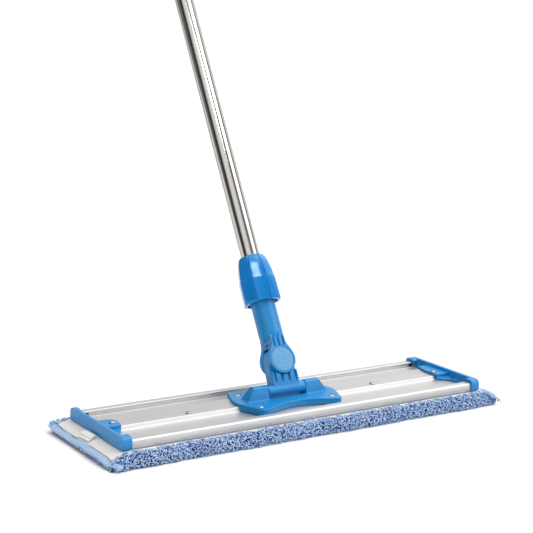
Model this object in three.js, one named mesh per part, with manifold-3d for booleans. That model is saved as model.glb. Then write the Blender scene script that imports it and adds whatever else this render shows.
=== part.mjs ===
// Flat mop: microfibre pad, aluminium frame, two-axis joint and telescopic handle.
// Units are millimetres, +Z is up. The origin is on the floor, under the centre of the
// pad. X runs along the frame, -Y is the front. The handle leans back, towards +Y.
import * as THREE from 'three';
import { mergeVertices } from 'three/addons/utils/BufferGeometryUtils.js';
import ManifoldModule from 'manifold-3d';

const wasm = await ManifoldModule();
wasm.setup();

// ------------------------------------------------------------------ driving dimensions
const FRAME_L = 480;          // over the end caps
const FRAME_D = 128;          // over the end caps, front to back
const CAP_Z0 = 16, CAP_Z1 = 30;
const CAP_WALL = 4.5;
const RAIL_Y = 62;            // outer face of each rail
const RAIL_IN = 51.5;         // inner face of each rail
const RAIL_Z0 = 16.3, RAIL_Z1 = 26;
const FLAT_Z = 19.2;          // top of the two low channels
const DECK_Z = 23.7;          // top of the raised deck
const DECK_Y0 = -7, DECK_Y1 = 28;
const WEB = 2;                // sheet thickness of the extrusion
const EXTR_X = 235;           // half length of the extrusion

const PAD_X = 262, PAD_Y = 80;      // half sizes of the pad
const PILE_Z = 13.8;                // top of the pile block
const BACK_Z0 = 14.1, BACK_Z1 = 15.7;
const BIND_W = 9;

const SCREW_X = 48.3, SCREW_Y = 25.7;   // yoke screws
const RIVET_X = 126.6;
const CAPSCREW_X = 220.5;
const YOKE_Z = 27.1;

const HINGE_Z = 34.7;         // height of the tilt hinge
const LEAN = 29.5;            // handle's rest lean from the vertical, degrees
const BARREL_R = 6.8, BARREL_X = 24.9;
const PIN_R = 3;
const PIVOT_S = 33;           // swivel pivot, measured along the handle from the hinge
const EAR_R = 17.2, EAR_Y = 12.7, EAR_IN = 6.5;
const TONGUE_Y = 6.2;
const SOCKET_R = 14.4;
const COLLAR_S0 = 103.6, COLLAR_S1 = 161.5, COLLAR_R = 22.6;
const TUBE_R = 11, TUBE_WALL = 0.8;
const TUBE_S0 = 74, TUBE_S1 = 905;
const INNER_R = 9.5, INNER_WALL = 0.7;
const INNER_S0 = 330, INNER_S1 = 1128;
const GRIP_S0 = 968, GRIP_S1 = 1122;
const HANG_S = 1153;          // centre of the hanging hole
const SEG = 28;

// ------------------------------------------------------------------ helpers
const V2 = (x, y) => new THREE.Vector2(x, y);

// closed mesh to solid: shared vertices merged, needle triangles dropped, faces outward
function solid(geometry) {
  let g = geometry.clone();
  g.deleteAttribute('normal');
  g.deleteAttribute('uv');
  g = mergeVertices(g, 1e-4);
  const p = g.attributes.position.array, idx = g.index.array;
  const tri = [];
  let vol = 0;
  for (let i = 0; i < idx.length; i += 3) {
    const a = idx[i], b = idx[i + 1], c = idx[i + 2];
    if (a === b || b === c || c === a) continue;
    tri.push(a, b, c);
    const A = 3 * a, B = 3 * b, C = 3 * c;
    vol += p[A] * (p[B + 1] * p[C + 2] - p[B + 2] * p[C + 1])
      - p[A + 1] * (p[B] * p[C + 2] - p[B + 2] * p[C])
      + p[A + 2] * (p[B] * p[C + 1] - p[B + 1] * p[C]);
  }
  if (vol < 0) for (let i = 0; i < tri.length; i += 3) [tri[i + 1], tri[i + 2]] = [tri[i + 2], tri[i + 1]];
  return new wasm.Manifold(new wasm.Mesh({
    numProp: 3, vertProperties: new Float32Array(p), triVerts: new Uint32Array(tri),
  }));
}
const union = (...s) => s.reduce((a, b) => a.add(b));
const cut = (a, ...s) => s.reduce((m, b) => m.subtract(b), a);

function shapeOf(points, holes = []) {
  const s = new THREE.Shape(points.map(([x, y]) => V2(x, y)));
  for (const h of holes) s.holes.push(new THREE.Path(h.map(([x, y]) => V2(x, y))));
  return s;
}
function extrude(points, depth, holes) {
  return new THREE.ExtrudeGeometry(shapeOf(points, holes), { depth, bevelEnabled: false, steps: 1 });
}
const BASIS_X = new THREE.Matrix4().makeBasis(new THREE.Vector3(0, 1, 0), new THREE.Vector3(0, 0, 1), new THREE.Vector3(1, 0, 0));
const BASIS_Y = new THREE.Matrix4().makeBasis(new THREE.Vector3(1, 0, 0), new THREE.Vector3(0, 0, 1), new THREE.Vector3(0, -1, 0));
// outline in (y, z), swept from x0 to x1
const alongX = (pts, x0, x1, holes) => solid(extrude(pts, x1 - x0, holes).applyMatrix4(BASIS_X).translate(x0, 0, 0));
// outline in (x, z), swept from y0 to y1
const alongY = (pts, y0, y1, holes) => solid(extrude(pts, y1 - y0, holes).applyMatrix4(BASIS_Y).translate(0, y1, 0));
// outline in (x, y), swept from z0 to z1
const alongZ = (pts, z0, z1, holes) => solid(extrude(pts, z1 - z0, holes).translate(0, 0, z0));
const box = (x0, x1, y0, y1, z0, z1) => solid(new THREE.BoxGeometry(x1 - x0, y1 - y0, z1 - z0)
  .translate((x0 + x1) / 2, (y0 + y1) / 2, (z0 + z1) / 2));
const rodX = (r, x0, x1, y, z, seg = 24) => solid(new THREE.CylinderGeometry(r, r, x1 - x0, seg)
  .rotateZ(Math.PI / 2).translate((x0 + x1) / 2, y, z));
const rodY = (r, y0, y1, x, z, seg = 24) => solid(new THREE.CylinderGeometry(r, r, y1 - y0, seg)
  .translate(x, (y0 + y1) / 2, z));
const rodZ = (r, z0, z1, x, y, seg = 20) => solid(new THREE.CylinderGeometry(r, r, z1 - z0, seg)
  .rotateX(Math.PI / 2).translate(x, y, (z0 + z1) / 2));
// (radius, height) profile turned about Z
const turnZ = (profile, seg = SEG) => solid(new THREE.LatheGeometry(profile.map(([r, z]) => V2(r, z)), seg).rotateX(Math.PI / 2));
// (radius, offset) profile turned about an axis parallel to Y through (x, z)
const turnY = (profile, x, z, seg = SEG) => solid(new THREE.LatheGeometry(profile.map(([r, y]) => V2(r, y)), seg).translate(x, 0, z));
const ring = (r0, r1, z0, z1, seg) => turnZ([[r0, z0], [r1, z0], [r1, z1], [r0, z1], [r0, z0]], seg);

// polygon with its corners rounded; each point is [x, y, radius]
function rounded(pts, steps = 4) {
  const out = [];
  for (let i = 0; i < pts.length; i++) {
    const [x, y, r = 0] = pts[i];
    if (!r) { out.push([x, y]); continue; }
    const [px, py] = pts[(i + pts.length - 1) % pts.length], [nx, ny] = pts[(i + 1) % pts.length];
    const a = V2(px - x, py - y).normalize(), b = V2(nx - x, ny - y).normalize();
    const half = Math.acos(THREE.MathUtils.clamp(a.dot(b), -1, 1)) / 2;
    const t = r / Math.tan(half);
    const c = a.clone().add(b).normalize().multiplyScalar(r / Math.sin(half)).add(V2(x, y));
    const s = V2(x, y).addScaledVector(a, t).sub(c), e = V2(x, y).addScaledVector(b, t).sub(c);
    let a0 = Math.atan2(s.y, s.x), da = Math.atan2(e.y, e.x) - a0;
    while (da > Math.PI) da -= 2 * Math.PI;
    while (da < -Math.PI) da += 2 * Math.PI;
    for (let k = 0; k <= steps; k++) {
      const t2 = a0 + da * k / steps;
      out.push([c.x + r * Math.cos(t2), c.y + r * Math.sin(t2)]);
    }
  }
  return out;
}
function arc(cx, cy, r, a0, a1, n) {
  const out = [];
  for (let k = 0; k <= n; k++) {
    const t = THREE.MathUtils.degToRad(a0 + (a1 - a0) * k / n);
    out.push([cx + r * Math.cos(t), cy + r * Math.sin(t)]);
  }
  return out;
}
const mirrorX = (pts) => pts.map(([x, y]) => [-x, y]).reverse();

// a closed (radius, height) loop turned about Z, with flats and grooves on its fluted rows
function fluted(loop, lobes, groove) {
  const per = [0, 0.12, 0.34, 0.66, 0.88];
  const cols = lobes * per.length, pos = [], tri = [];
  for (const [r, z, f] of loop) {
    for (let j = 0; j < cols; j++) {
      const lobe = Math.floor(j / per.length), u = per[j % per.length];
      const ang = (lobe + u) * 2 * Math.PI / lobes;
      let rr = r;
      if (f) {
        const half = Math.PI / lobes, d = (u - 0.5) * 2 * half;
        const flat = Math.cos(half * 0.62) / Math.cos(d);
        rr = u === 0 ? r * 0.985 - groove * f : r * (u === 0.12 || u === 0.88 ? Math.min(flat, 1) * 0.994 : Math.min(flat, 1));
        rr = r + (rr - r) * f;
      }
      pos.push(rr * Math.cos(ang), rr * Math.sin(ang), z);
    }
  }
  for (let i = 0; i < loop.length; i++) {
    const i2 = (i + 1) % loop.length;
    for (let j = 0; j < cols; j++) {
      const j2 = (j + 1) % cols;
      const a = i * cols + j, b = i * cols + j2, c = i2 * cols + j2, d = i2 * cols + j;
      tri.push(a, b, c, a, c, d);
    }
  }
  const g = new THREE.BufferGeometry();
  g.setAttribute('position', new THREE.Float32BufferAttribute(pos, 3));
  g.setIndex(tri);
  return solid(g);
}

// ------------------------------------------------------------------ materials
const mat = (color, roughness, metalness = 0) => new THREE.MeshStandardMaterial({ color, roughness, metalness });
const BLUE = () => mat(0x2b84d0, 0.38);
const BLUE_GLOSS = () => mat(0x2179c8, 0.16);
const BLUE_LIGHT = () => mat(0x63a8dc, 0.3);
const ALU = () => mat(0xcfcfce, 0.32, 1);
const STEEL = () => mat(0xb8b3aa, 0.16, 1);
const ZINC = () => mat(0xa9a6a2, 0.3, 1);
const PILE = () => mat(0x7095d6, 0.95);
const BACKING = () => mat(0xe9e7e2, 0.9);
const BINDING = () => mat(0x86aee6, 0.8);
const TAG = () => mat(0xf0eeea, 0.7);
const HOOK = () => mat(0x2c2d30, 0.85);
const GREY = () => mat(0x8f9499, 0.5);
const GRIP = () => mat(0x2c2f33, 0.7);

const mop = new THREE.Group();
function add(group, name, body, material) {
  const m = body.getMesh();
  const g = new THREE.BufferGeometry();
  const n = m.numProp, v = m.vertProperties, p = new Float32Array(v.length / n * 3);
  for (let i = 0; i < v.length / n; i++) { p[3 * i] = v[n * i]; p[3 * i + 1] = v[n * i + 1]; p[3 * i + 2] = v[n * i + 2]; }
  g.setAttribute('position', new THREE.BufferAttribute(p, 3));
  g.setIndex(new THREE.BufferAttribute(new Uint32Array(m.triVerts), 1));
  g.computeVertexNormals();
  const mesh = new THREE.Mesh(g, material);
  mesh.name = name;
  group.add(mesh);
}

// ------------------------------------------------------------------ pad
{
  const pile = rounded([[-PAD_X + BIND_W, -PAD_Y, 6], [PAD_X - BIND_W, -PAD_Y, 6], [PAD_X - BIND_W, PAD_Y, 6], [-PAD_X + BIND_W, PAD_Y, 6]], 3);
  add(mop, 'pad_pile', alongZ(pile, 0, PILE_Z), PILE());
  const back = rounded([[-PAD_X + BIND_W, -PAD_Y + 7, 4], [PAD_X - BIND_W, -PAD_Y + 7, 4], [PAD_X - BIND_W, PAD_Y - 7, 4], [-PAD_X + BIND_W, PAD_Y - 7, 4]], 3);
  add(mop, 'pad_backing', alongZ(back, BACK_Z0, BACK_Z1), BACKING());
  for (const [side, sx] of [['left', -1], ['right', 1]]) {
    const x0 = sx > 0 ? PAD_X - BIND_W + 0.3 : -PAD_X, x1 = sx > 0 ? PAD_X : -PAD_X + BIND_W - 0.3;
    // hem tape folded over the end: a flattened tube section along the short edge
    const hem = rounded([[x0, 1.5, 3], [x1, 1.5, 3], [x1, 14.5, 3], [x0, 14.5, 3]], 3);
    add(mop, `pad_binding_${side}`, alongY(hem, -PAD_Y + 1, PAD_Y - 1), BINDING());
  }
  // folded care tag lying on the backing beside the left end cap
  const tag = rounded([[-252.3, BACK_Z1 + 0.15], [-242.2, BACK_Z1 + 0.15], [-242.2, BACK_Z1 + 1.6], [-252.3, BACK_Z1 + 1.6]]);
  add(mop, 'pad_tag', alongY(tag, 8, 30), TAG());
}

// ------------------------------------------------------------------ aluminium frame
{
  const nose = 2.6;
  const half = (s) => [   // from the outer bottom edge of a rail to its inner bottom edge
    [s * RAIL_Y, RAIL_Z0], [s * RAIL_Y, RAIL_Z1 - nose],
    ...arc(0, 0, nose, 0, 90, 4).slice(1).map(([a, b]) => [s * (RAIL_Y - nose + a), RAIL_Z1 - nose + b]),
    [s * RAIL_IN, RAIL_Z1], [s * RAIL_IN, FLAT_Z],
  ];
  const outline = [
    ...half(1), [DECK_Y1 + 2, FLAT_Z], [DECK_Y1, DECK_Z], [DECK_Y0, DECK_Z], [DECK_Y0 - 2, FLAT_Z],
    ...half(-1).reverse(),
    [-RAIL_IN, RAIL_Z0], [-RAIL_IN, FLAT_Z - WEB], [DECK_Y0, FLAT_Z - WEB], [DECK_Y0 + 1.8, DECK_Z - WEB],
    [DECK_Y1 - 1.8, DECK_Z - WEB], [DECK_Y1, FLAT_Z - WEB], [RAIL_IN, FLAT_Z - WEB], [RAIL_IN, RAIL_Z0],
  ];
  const hollow = (s) => {
    const o = s * (RAIL_Y - 1.6), i = s * (RAIL_IN + 1.6);
    const h = [[i, RAIL_Z0 + 1.6], [o, RAIL_Z0 + 1.6], [o, RAIL_Z1 - 2.8], [o - s * 1.4, RAIL_Z1 - 1.6], [i, RAIL_Z1 - 1.6]];
    return s > 0 ? h : h.reverse();
  };
  let frame = alongX(outline, -EXTR_X, EXTR_X, [hollow(1), hollow(-1)]);
  for (const sx of [-1, 1]) {
    // windows in the inner rail walls, where the end caps' prongs snap in
    for (const sy of [-1, 1]) {
      const y0 = sy > 0 ? RAIL_IN - 1 : -RAIL_IN - 3, y1 = y0 + 4;
      frame = frame.subtract(box(...(sx > 0 ? [223.5, 229.5] : [-229.5, -223.5]), y0, y1, 20.4, 24.2));
    }
    // through holes for the cap screws and rivets
    frame = frame.subtract(rodZ(2.1, 18, 30, sx * CAPSCREW_X, 0, 14));
    frame = frame.subtract(rodZ(2.1, 18, 30, sx * RIVET_X, 0, 14));
    for (const sy of [-1, 1]) frame = frame.subtract(rodZ(2.1, 15, 30, sx * SCREW_X, sy * SCREW_Y, 14));
  }
  // crimp marks in the back rail
  for (const x of [-218, -206, -84, 92, 163]) frame = frame.subtract(box(x - 3, x + 3, RAIL_IN - 0.5, RAIL_IN + 0.6, 21.6, 22.8));
  add(mop, 'frame_extrusion', frame, ALU());

  // hook tape under each low channel
  const strip = (y0, y1) => alongZ(rounded([[-232, y0, 2], [232, y0, 2], [232, y1, 2], [-232, y1, 2]], 2), 15.95, 16.95);
  let sf = strip(-48, -12), sr = strip(31, 48);
  for (const sx of [-1, 1]) {
    sf = sf.subtract(rodZ(3.6, 15, 18, sx * SCREW_X, -SCREW_Y, 12));
  }
  add(mop, 'hook_strip_front', sf, HOOK());
  add(mop, 'hook_strip_rear', sr, HOOK());
}

// end caps
for (const [side, sx] of [['left', -1], ['right', 1]]) {
  const X = FRAME_L / 2, xi = X - CAP_WALL, Y = FRAME_D / 2;
  const g = 0.3;
  let cap = alongX(rounded([[-Y, CAP_Z0, 2], [Y, CAP_Z0, 2], [Y, CAP_Z1, 4.5], [-Y, CAP_Z1, 4.5]], 4), xi, X);
  // returns that wrap the front and back rails
  const hook = alongX(rounded([[-Y, CAP_Z0, 2], [-Y + 15, CAP_Z0], [-Y + 15, CAP_Z1, 3.5], [-Y, CAP_Z1, 4.5]], 4), X - 11.5, xi + 0.5);
  const rail = box(X - 12, xi, -RAIL_Y - g, -RAIL_IN + g, 15, RAIL_Z1 + g);
  const under = box(X - 12, xi, -RAIL_IN - 0.1, -Y + 16, 15, RAIL_Z1 + g);
  let hookF = cut(hook, rail, under);
  // flanges standing on the deck and in the channels
  const deck = alongZ([[xi + 0.5, -11.4], [218.2, -11.4], [216.6, -8], [216.2, 0], [216.8, 10], [218.6, 20], [221.6, 27.8], [xi + 0.5, 27.8]], DECK_Z + g, 26.6);
  const drop = alongZ([[xi + 0.5, -11.4], [218.2, -11.4], [217.2, -9.5], [xi + 0.5, -9.5]], FLAT_Z + g, 26.6);
  const low = alongZ([[xi + 0.5, -44], [233.6, -42], [231.5, -32], [228.2, -21.5], [220.6, -15.5], [217.8, -10], [xi + 0.5, -10]], FLAT_Z + g, 21.7);
  const dropR = alongZ([[xi + 0.5, 32.4], [222.6, 32.4], [222.0, 30.6], [xi + 0.5, 30.6]], FLAT_Z + g, 25);
  const lowR = alongZ([[xi + 0.5, 46], [233.6, 44], [230.6, 38], [225.6, 34], [222.6, 31], [xi + 0.5, 31]], FLAT_Z + g, 21.7);
  cap = union(cap, hookF, deck, drop, low, lowR, dropR);
  // bridge from the deck flange to the rear drop
  cap = cap.add(alongZ([[xi + 0.5, 27.5], [221.4, 27.5], [222.6, 32.4], [xi + 0.5, 32.4]], DECK_Z + g, 26.0));
  // mirrored hook on the back rail
  const hookB = alongX(rounded([[Y, CAP_Z0, 2], [Y, CAP_Z1, 4.5], [Y - 15, CAP_Z1, 3.5], [Y - 15, CAP_Z0]], 4), X - 11.5, xi + 0.5);
  cap = cap.add(cut(hookB, box(X - 12, xi, RAIL_IN - g, RAIL_Y + g, 15, RAIL_Z1 + g), box(X - 12, xi, Y - 16, RAIL_IN + 0.1, 15, RAIL_Z1 + g)));
  // gussets against the inner face of the wall
  for (const y of [-40, -27, -17.5, 36, 43]) {
    cap = cap.add(alongY([[xi + 0.4, 21.5], [xi - 3.6, 21.5], [xi + 0.4, 27.6]], y - 0.8, y + 0.8));
  }
  cap = cap.add(rodZ(1.9, 21.4, 23.6, 229.6, -16.8, 10)).add(rodZ(1.9, 21.4, 23.6, 229.2, 36.4, 10));
  cap = cap.subtract(rodZ(2.1, 20, 30, CAPSCREW_X, 0, 14));
  if (sx < 0) cap = cap.mirror([1, 0, 0]);
  add(mop, `end_cap_${side}`, cap, BLUE());

  // fasteners: cap screw through the flange, blind rivet in the deck
  const head = (r, z, h) => [[0, z + h], [r * 0.55, z + h * 0.86], [r, z + 0.25], [r, z]];
  const screw = turnZ([[0, 18.6], [1.75, 19.8], [1.75, 26.7], ...head(3.5, 26.7, 1.7).reverse()], 16);
  let sc = screw.subtract(box(-2, 2, -0.4, 0.4, 27.6, 29)).subtract(box(-0.4, 0.4, -2, 2, 27.6, 29));
  sc = sc.translate([sx * CAPSCREW_X, 0, 0]);
  add(mop, `cap_screw_${side}`, sc, ZINC());
  const rivet = turnZ([[0, 20.2], [1.75, 20.6], [1.75, 23.85], ...head(3.4, 23.85, 1.5).reverse().slice(0, -1), [0.9, 25.05], [0, 24.6]], 16)
    .translate([sx * RIVET_X, 0, 0]);
  add(mop, `plate_rivet_${side}`, rivet, ZINC());
}

// ------------------------------------------------------------------ yoke plate
{
  const q = [[0, -24.8], [12, -25.5], [24, -29.2], [33, -33.4], [41, -37], [48, -39.4], [52, -39.3], [54.6, -37.2], [56, -33], [57.6, -27.5], [60.6, -21.3], [63.6, -13.3], [65.6, -6.5], [66.2, -2.5]];
  const lower = [...mirrorX(q.slice(1)), ...q];
  const outline = [...lower, ...lower.map(([x, y]) => [-x, -y])];
  let plate = alongZ(outline, FLAT_Z + 0.3, YOKE_Z);
  // channel over the deck
  plate = plate.subtract(alongX([[DECK_Y0 - 2.4, FLAT_Z], [DECK_Y0 - 0.3, DECK_Z + 0.3], [DECK_Y1 + 0.3, DECK_Z + 0.3], [DECK_Y1 + 2.4, FLAT_Z]], -80, 80));
  // cored underside of the front skirt, with bosses for the screws
  const pq = [[0, -22.2], [12, -22.9], [24, -26.6], [33, -30.7], [41.5, -34.4], [48, -36.7], [51.4, -36.4], [53.2, -31.5], [55, -26], [58, -20], [60.4, -12]];
  const pocket = [...mirrorX(pq.slice(1)), ...pq];
  plate = plate.subtract(alongZ(pocket, FLAT_Z, 24.4));
  for (const sx of [-1, 1]) plate = plate.add(rodZ(5, FLAT_Z + 0.3, 24.6, sx * SCREW_X, -SCREW_Y, 14));
  for (const x of [-22, 0, 22]) plate = plate.add(box(x - 0.9, x + 0.9, -24 - Math.abs(x) / 8, -11.6, FLAT_Z + 0.3, 24.6));
  // humps that hold the tilt pin
  const section = rounded([[-8.4, 26.6], [-6.9, 34, 6], [-4.4, 42, 2.6], [4.4, 42, 2.6], [6.9, 34, 6], [8.4, 26.6]], 3);
  let hump = alongX(section, BARREL_X + 0.4, 55.4);
  hump = hump.subtract(alongY([[44.6, 42.3], [54.2, 27.1], [54.2, 26.4], [62, 26.4], [62, 45], [44.6, 45]], -12, 12));
  plate = union(plate, hump, hump.mirror([1, 0, 0]));
  // pin bore: open on the right hump, blind in the left one
  plate = plate.subtract(rodX(PIN_R + 0.08, -40.4, 60, 0, HINGE_Z, SEG));
  // screw holes with shallow countersinks
  for (const sx of [-1, 1]) for (const sy of [-1, 1]) {
    plate = plate.subtract(rodZ(2.1, 15, 30, sx * SCREW_X, sy * SCREW_Y, 14));
    plate = plate.subtract(rodZ(4.1, YOKE_Z - 1.2, 30, sx * SCREW_X, sy * SCREW_Y, 18));
    for (const d of [-1, 1]) plate = plate.subtract(rodZ(0.7, YOKE_Z - 1, 30, sx * SCREW_X + d * 5.6, sy * SCREW_Y, 8));
  }
  add(mop, 'yoke_plate', plate, BLUE());

  let n = 1;
  for (const sy of [-1, 1]) for (const sx of [-1, 1]) {
    const z = YOKE_Z - 1.2 + 0.1;
    let s = turnZ([[0, 17.0], [1.75, 18.4], [1.75, z], [3.7, z], [3.0, z + 1.1], [0, z + 1.5]], 14);
    s = s.subtract(box(-1.7, 1.7, -0.35, 0.35, z + 0.6, z + 3)).subtract(box(-0.35, 0.35, -1.7, 1.7, z + 0.6, z + 3));
    add(mop, `yoke_screw_${n++}`, s.translate([sx * SCREW_X, sy * SCREW_Y, 0]), ZINC());
  }
  add(mop, 'tilt_pin', rodX(PIN_R, -40, 45.5, 0, HINGE_Z, SEG), ZINC());
}

// ------------------------------------------------------------------ handle
// Handle frame: origin on the tilt hinge, +Z along the handle, -Y its front face.
const handle = new THREE.Group();
handle.position.set(0, 0, HINGE_Z);
handle.rotation.x = -THREE.MathUtils.degToRad(LEAN);
mop.add(handle);

// lower knuckle: hinge barrel, ribbed foot and the tongue of the swivel
{
  const tongue = [
    [-17.9, 0.5], [17.9, 0.5], [17.8, 9], [17.5, 16], [17.3, 21], [17.0, 25], [16.5, 28.4], ...arc(0, PIVOT_S, 16.6, -10, 190, 20),
    [-16.5, 28.4], [-17.0, 25], [-17.3, 21], [-17.5, 16], [-17.8, 9],
  ];
  let k = alongY(tongue, -TONGUE_Y, TONGUE_Y);
  // ribbed foot, wider in front than behind
  const footF = alongX([[-5.9, 0], [-5.9, 19.1], [-9.5, 19.1], [-9.3, 12.5], [-6.9, 4], [-6.4, 0]], -20, 20)
    .intersect(alongY([[-17.7, -1], [17.7, -1], [17.6, 8], [16.8, 19.5], [-16.8, 19.5], [-17.6, 8]], -12, -4));
  const footB = alongX([[5.9, 0], [6.4, 0], [6.7, 4], [9.2, 12.5], [9.4, 19.1], [5.9, 19.1]], -15.6, 15.6);
  const earF = rodY(EAR_R + 0.5, -12, -TONGUE_Y, 0, PIVOT_S, 40), earB = rodY(EAR_R + 0.5, TONGUE_Y, 12, 0, PIVOT_S, 40);
  let f = union(cut(footF, earF), cut(footB, earB));
  for (const x of [-13.7, -4.7, 4.7, 13.7]) f = f.subtract(box(x - 1.4, x + 1.4, -12, -6.3, 5.8, 25));
  for (const x of [-11.2, -3.8, 3.8, 11.2]) f = f.subtract(box(x - 1.4, x + 1.4, 6.3, 12, 6.6, 25));
  k = union(k, f, rodX(BARREL_R, -BARREL_X, BARREL_X, 0, 0, 40));
  k = k.subtract(rodX(PIN_R + 0.08, -30, 30, 0, 0, SEG));
  k = k.subtract(rodY(3.1, -12, 12, 0, PIVOT_S, SEG));
  for (const s of [-1, 1]) k = k.subtract(rodY(12.2, s > 0 ? 5.2 : -7, s > 0 ? 7 : -5.2, 0, PIVOT_S, 32));
  add(handle, 'lower_knuckle', k, BLUE());
  for (const [name, s] of [['friction_washer_front', -1], ['friction_washer_rear', 1]]) {
    const y0 = s < 0 ? -6.4 : 5.3, y1 = s < 0 ? -5.3 : 6.4;
    add(handle, name, cut(rodY(12, y0, y1, 0, PIVOT_S, 32), rodY(3.2, -8, 8, 0, PIVOT_S, 24)), GREY());
  }
}

// handle socket: clevis ears, ribbed neck, tube, screw thread and slotted collet
{
  const half = [[13.9, 44.2], [12.6, 46.2], [11.3, 48.6], [10.1, 51.6], [9.5, 55], [9.4, 60], [9.4, 66.5]];
  const body = [...arc(0, PIVOT_S, EAR_R, -211, 31, 26), ...half, ...mirrorX(half)];
  let s = alongY(body, -EAR_Y, EAR_Y);
  // the neck's faces run back into the tube at their upper ends
  for (const d of [-1, 1]) {
    const slope = [[d * 12.75, 60], [d * 9.9, 66.6], [d * 14, 66.6], [d * 14, 60]];
    s = s.subtract(alongX(d > 0 ? slope.reverse() : slope, -12, 12));
  }
  const pr = [[0, 56], [11.6, 57.4], [13.2, 60], [14, 61.9], [SOCKET_R, 64], [SOCKET_R, 108]];
  for (let i = 0; i < 3; i++) { const z = 110.5 + i * 5; pr.push([15.0, z - 0.8], [15.8, z + 1], [15.0, z + 2.8]); }
  pr.push([15.0, 127.5], [14.6, 129], [13.7, 150], [13.0, 154], [11.1, 154], [11.1, 78], [11.3, 72.5], [0, 72.5]);
  s = s.add(turnZ(pr, SEG));
  // slot between the ears
  s = s.subtract(alongY([[-30, 0], [30, 0], [30, PIVOT_S], ...arc(0, PIVOT_S, EAR_R + 1.6, 0, 180, 24), [-30, PIVOT_S]], -EAR_IN, EAR_IN));
  // moulded grooves above the discs, running out into the tube
  for (const x of [-6.2, 0, 6.2]) for (const d of [-1, 1]) {
    const run = [[d * 17, 48.2], [d * 10.4, 48.2], [d * 10.4, 57.5], [d * 14.6, 65.4], [d * 17, 65.4]];
    s = s.subtract(alongX(d < 0 ? run.reverse() : run, x - 1.15, x + 1.15));
  }
  // small windows in the sides of the neck
  for (const d of [-1, 1]) s = s.subtract(box(d > 0 ? 7.6 : -16, d > 0 ? 16 : -7.6, -4.4, 1.2, 49.9, 53.4));
  // collet slots
  s = s.subtract(box(-1, 1, -20, 20, 131, 160)).subtract(box(-20, 20, -1, 1, 131, 160));
  // bolt hole, cap recesses and counterbores
  s = s.subtract(rodY(3.1, -16, 16, 0, PIVOT_S, SEG));
  for (const d of [-1, 1]) {
    const lo = (a, b) => d > 0 ? [a, b] : [-b, -a];
    s = s.subtract(rodY(15.0, ...lo(EAR_Y - 1.9, EAR_Y + 1), 0, PIVOT_S, 40));
    s = s.subtract(rodY(7, ...lo(EAR_Y - 4.6, EAR_Y), 0, PIVOT_S, 24));
  }
  add(handle, 'handle_socket', s, BLUE());

  // swivel bolt from the front, nut at the rear, both under press-in caps
  const bolt = turnY([[0, 10.6], [2.9, 10.6], [2.9, -8.3], [5.6, -8.3], [5.6, -10.2], [4.4, -10.7], [0, -10.7]], 0, PIVOT_S, SEG);
  add(handle, 'swivel_bolt', bolt, ZINC());
  const nut = cut(rodY(6.2, 8.3, 10.5, 0, PIVOT_S, 6), rodY(3.2, 7, 12, 0, PIVOT_S, 24));
  add(handle, 'swivel_nut', nut, ZINC());
  for (const [name, d] of [['pivot_cap_front', -1], ['pivot_cap_rear', 1]]) {
    const c = turnY([[0, 0], [14.7, 0], [14.7, 1.35], [13.2, 1.35], [12.9, 1.15], [0, 1.15]].map(([r, y]) => [r, d * (y + 11.1)]), 0, PIVOT_S, 32);
    add(handle, name, c, BLUE_LIGHT());
  }
}

// lock collar that squeezes the collet onto the handle tube
{
  const f = 1;
  const loop = [
    [18.6, COLLAR_S0, 0], [COLLAR_R, COLLAR_S0, f], [21.7, 138, f],
    [20.3, 146, f], [18.6, 153, 0.95], [16.9, 158, 0.8], [13.8, COLLAR_S1, 0.1], [12.3, COLLAR_S1 - 0.6, 0],
    [12.3, 155.8, 0], [13.6, 154.9, 0], [14.1, 150, 0], [15.3, 129.4, 0], [16.3, 127.5, 0], [16.3, 109.5, 0], [18.4, 107.5, 0],
  ];
  add(handle, 'lock_collar', fluted(loop, 8, 1.3), BLUE_GLOSS());
}

// telescopic tube: outer tube, collet, twist collar, inner tube, guide bush, grip, cap
add(handle, 'outer_tube', ring(TUBE_R - TUBE_WALL, TUBE_R, TUBE_S0, TUBE_S1, SEG), STEEL());
{
  const r0 = TUBE_R + 0.12, bore = INNER_R + 0.12;
  let c = turnZ([[r0, 868], [13.2, 868], [13.2, 906], [13.8, 908], [13.2, 910], [13.8, 913], [13.2, 916], [12.9, 922], [12.2, 944], [11.4, 948], [bore, 948], [bore, 906], [r0, 905.6], [r0, 868]], SEG);
  c = c.subtract(box(-0.9, 0.9, -20, 20, 924, 960)).subtract(box(-20, 20, -0.9, 0.9, 924, 960));
  add(handle, 'telescope_collet', c, BLUE());
  const loop = [
    [15.9, 898, 0], [18.6, 898, 1], [17.5, 930, 1], [16.6, 940, 1], [15.2, 948, 0.9],
    [12.4, 953, 0.1], [10.5, 952.4, 0], [10.5, 949.6, 0], [12.0, 949.3, 0], [12.7, 944.4, 0], [13.4, 923, 0], [14.2, 921, 0], [14.2, 903, 0],
  ];
  add(handle, 'telescope_collar', fluted(loop, 8, 1.1), BLUE_GLOSS());
}
add(handle, 'inner_tube', ring(INNER_R - INNER_WALL, INNER_R, INNER_S0, INNER_S1, SEG), STEEL());
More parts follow.
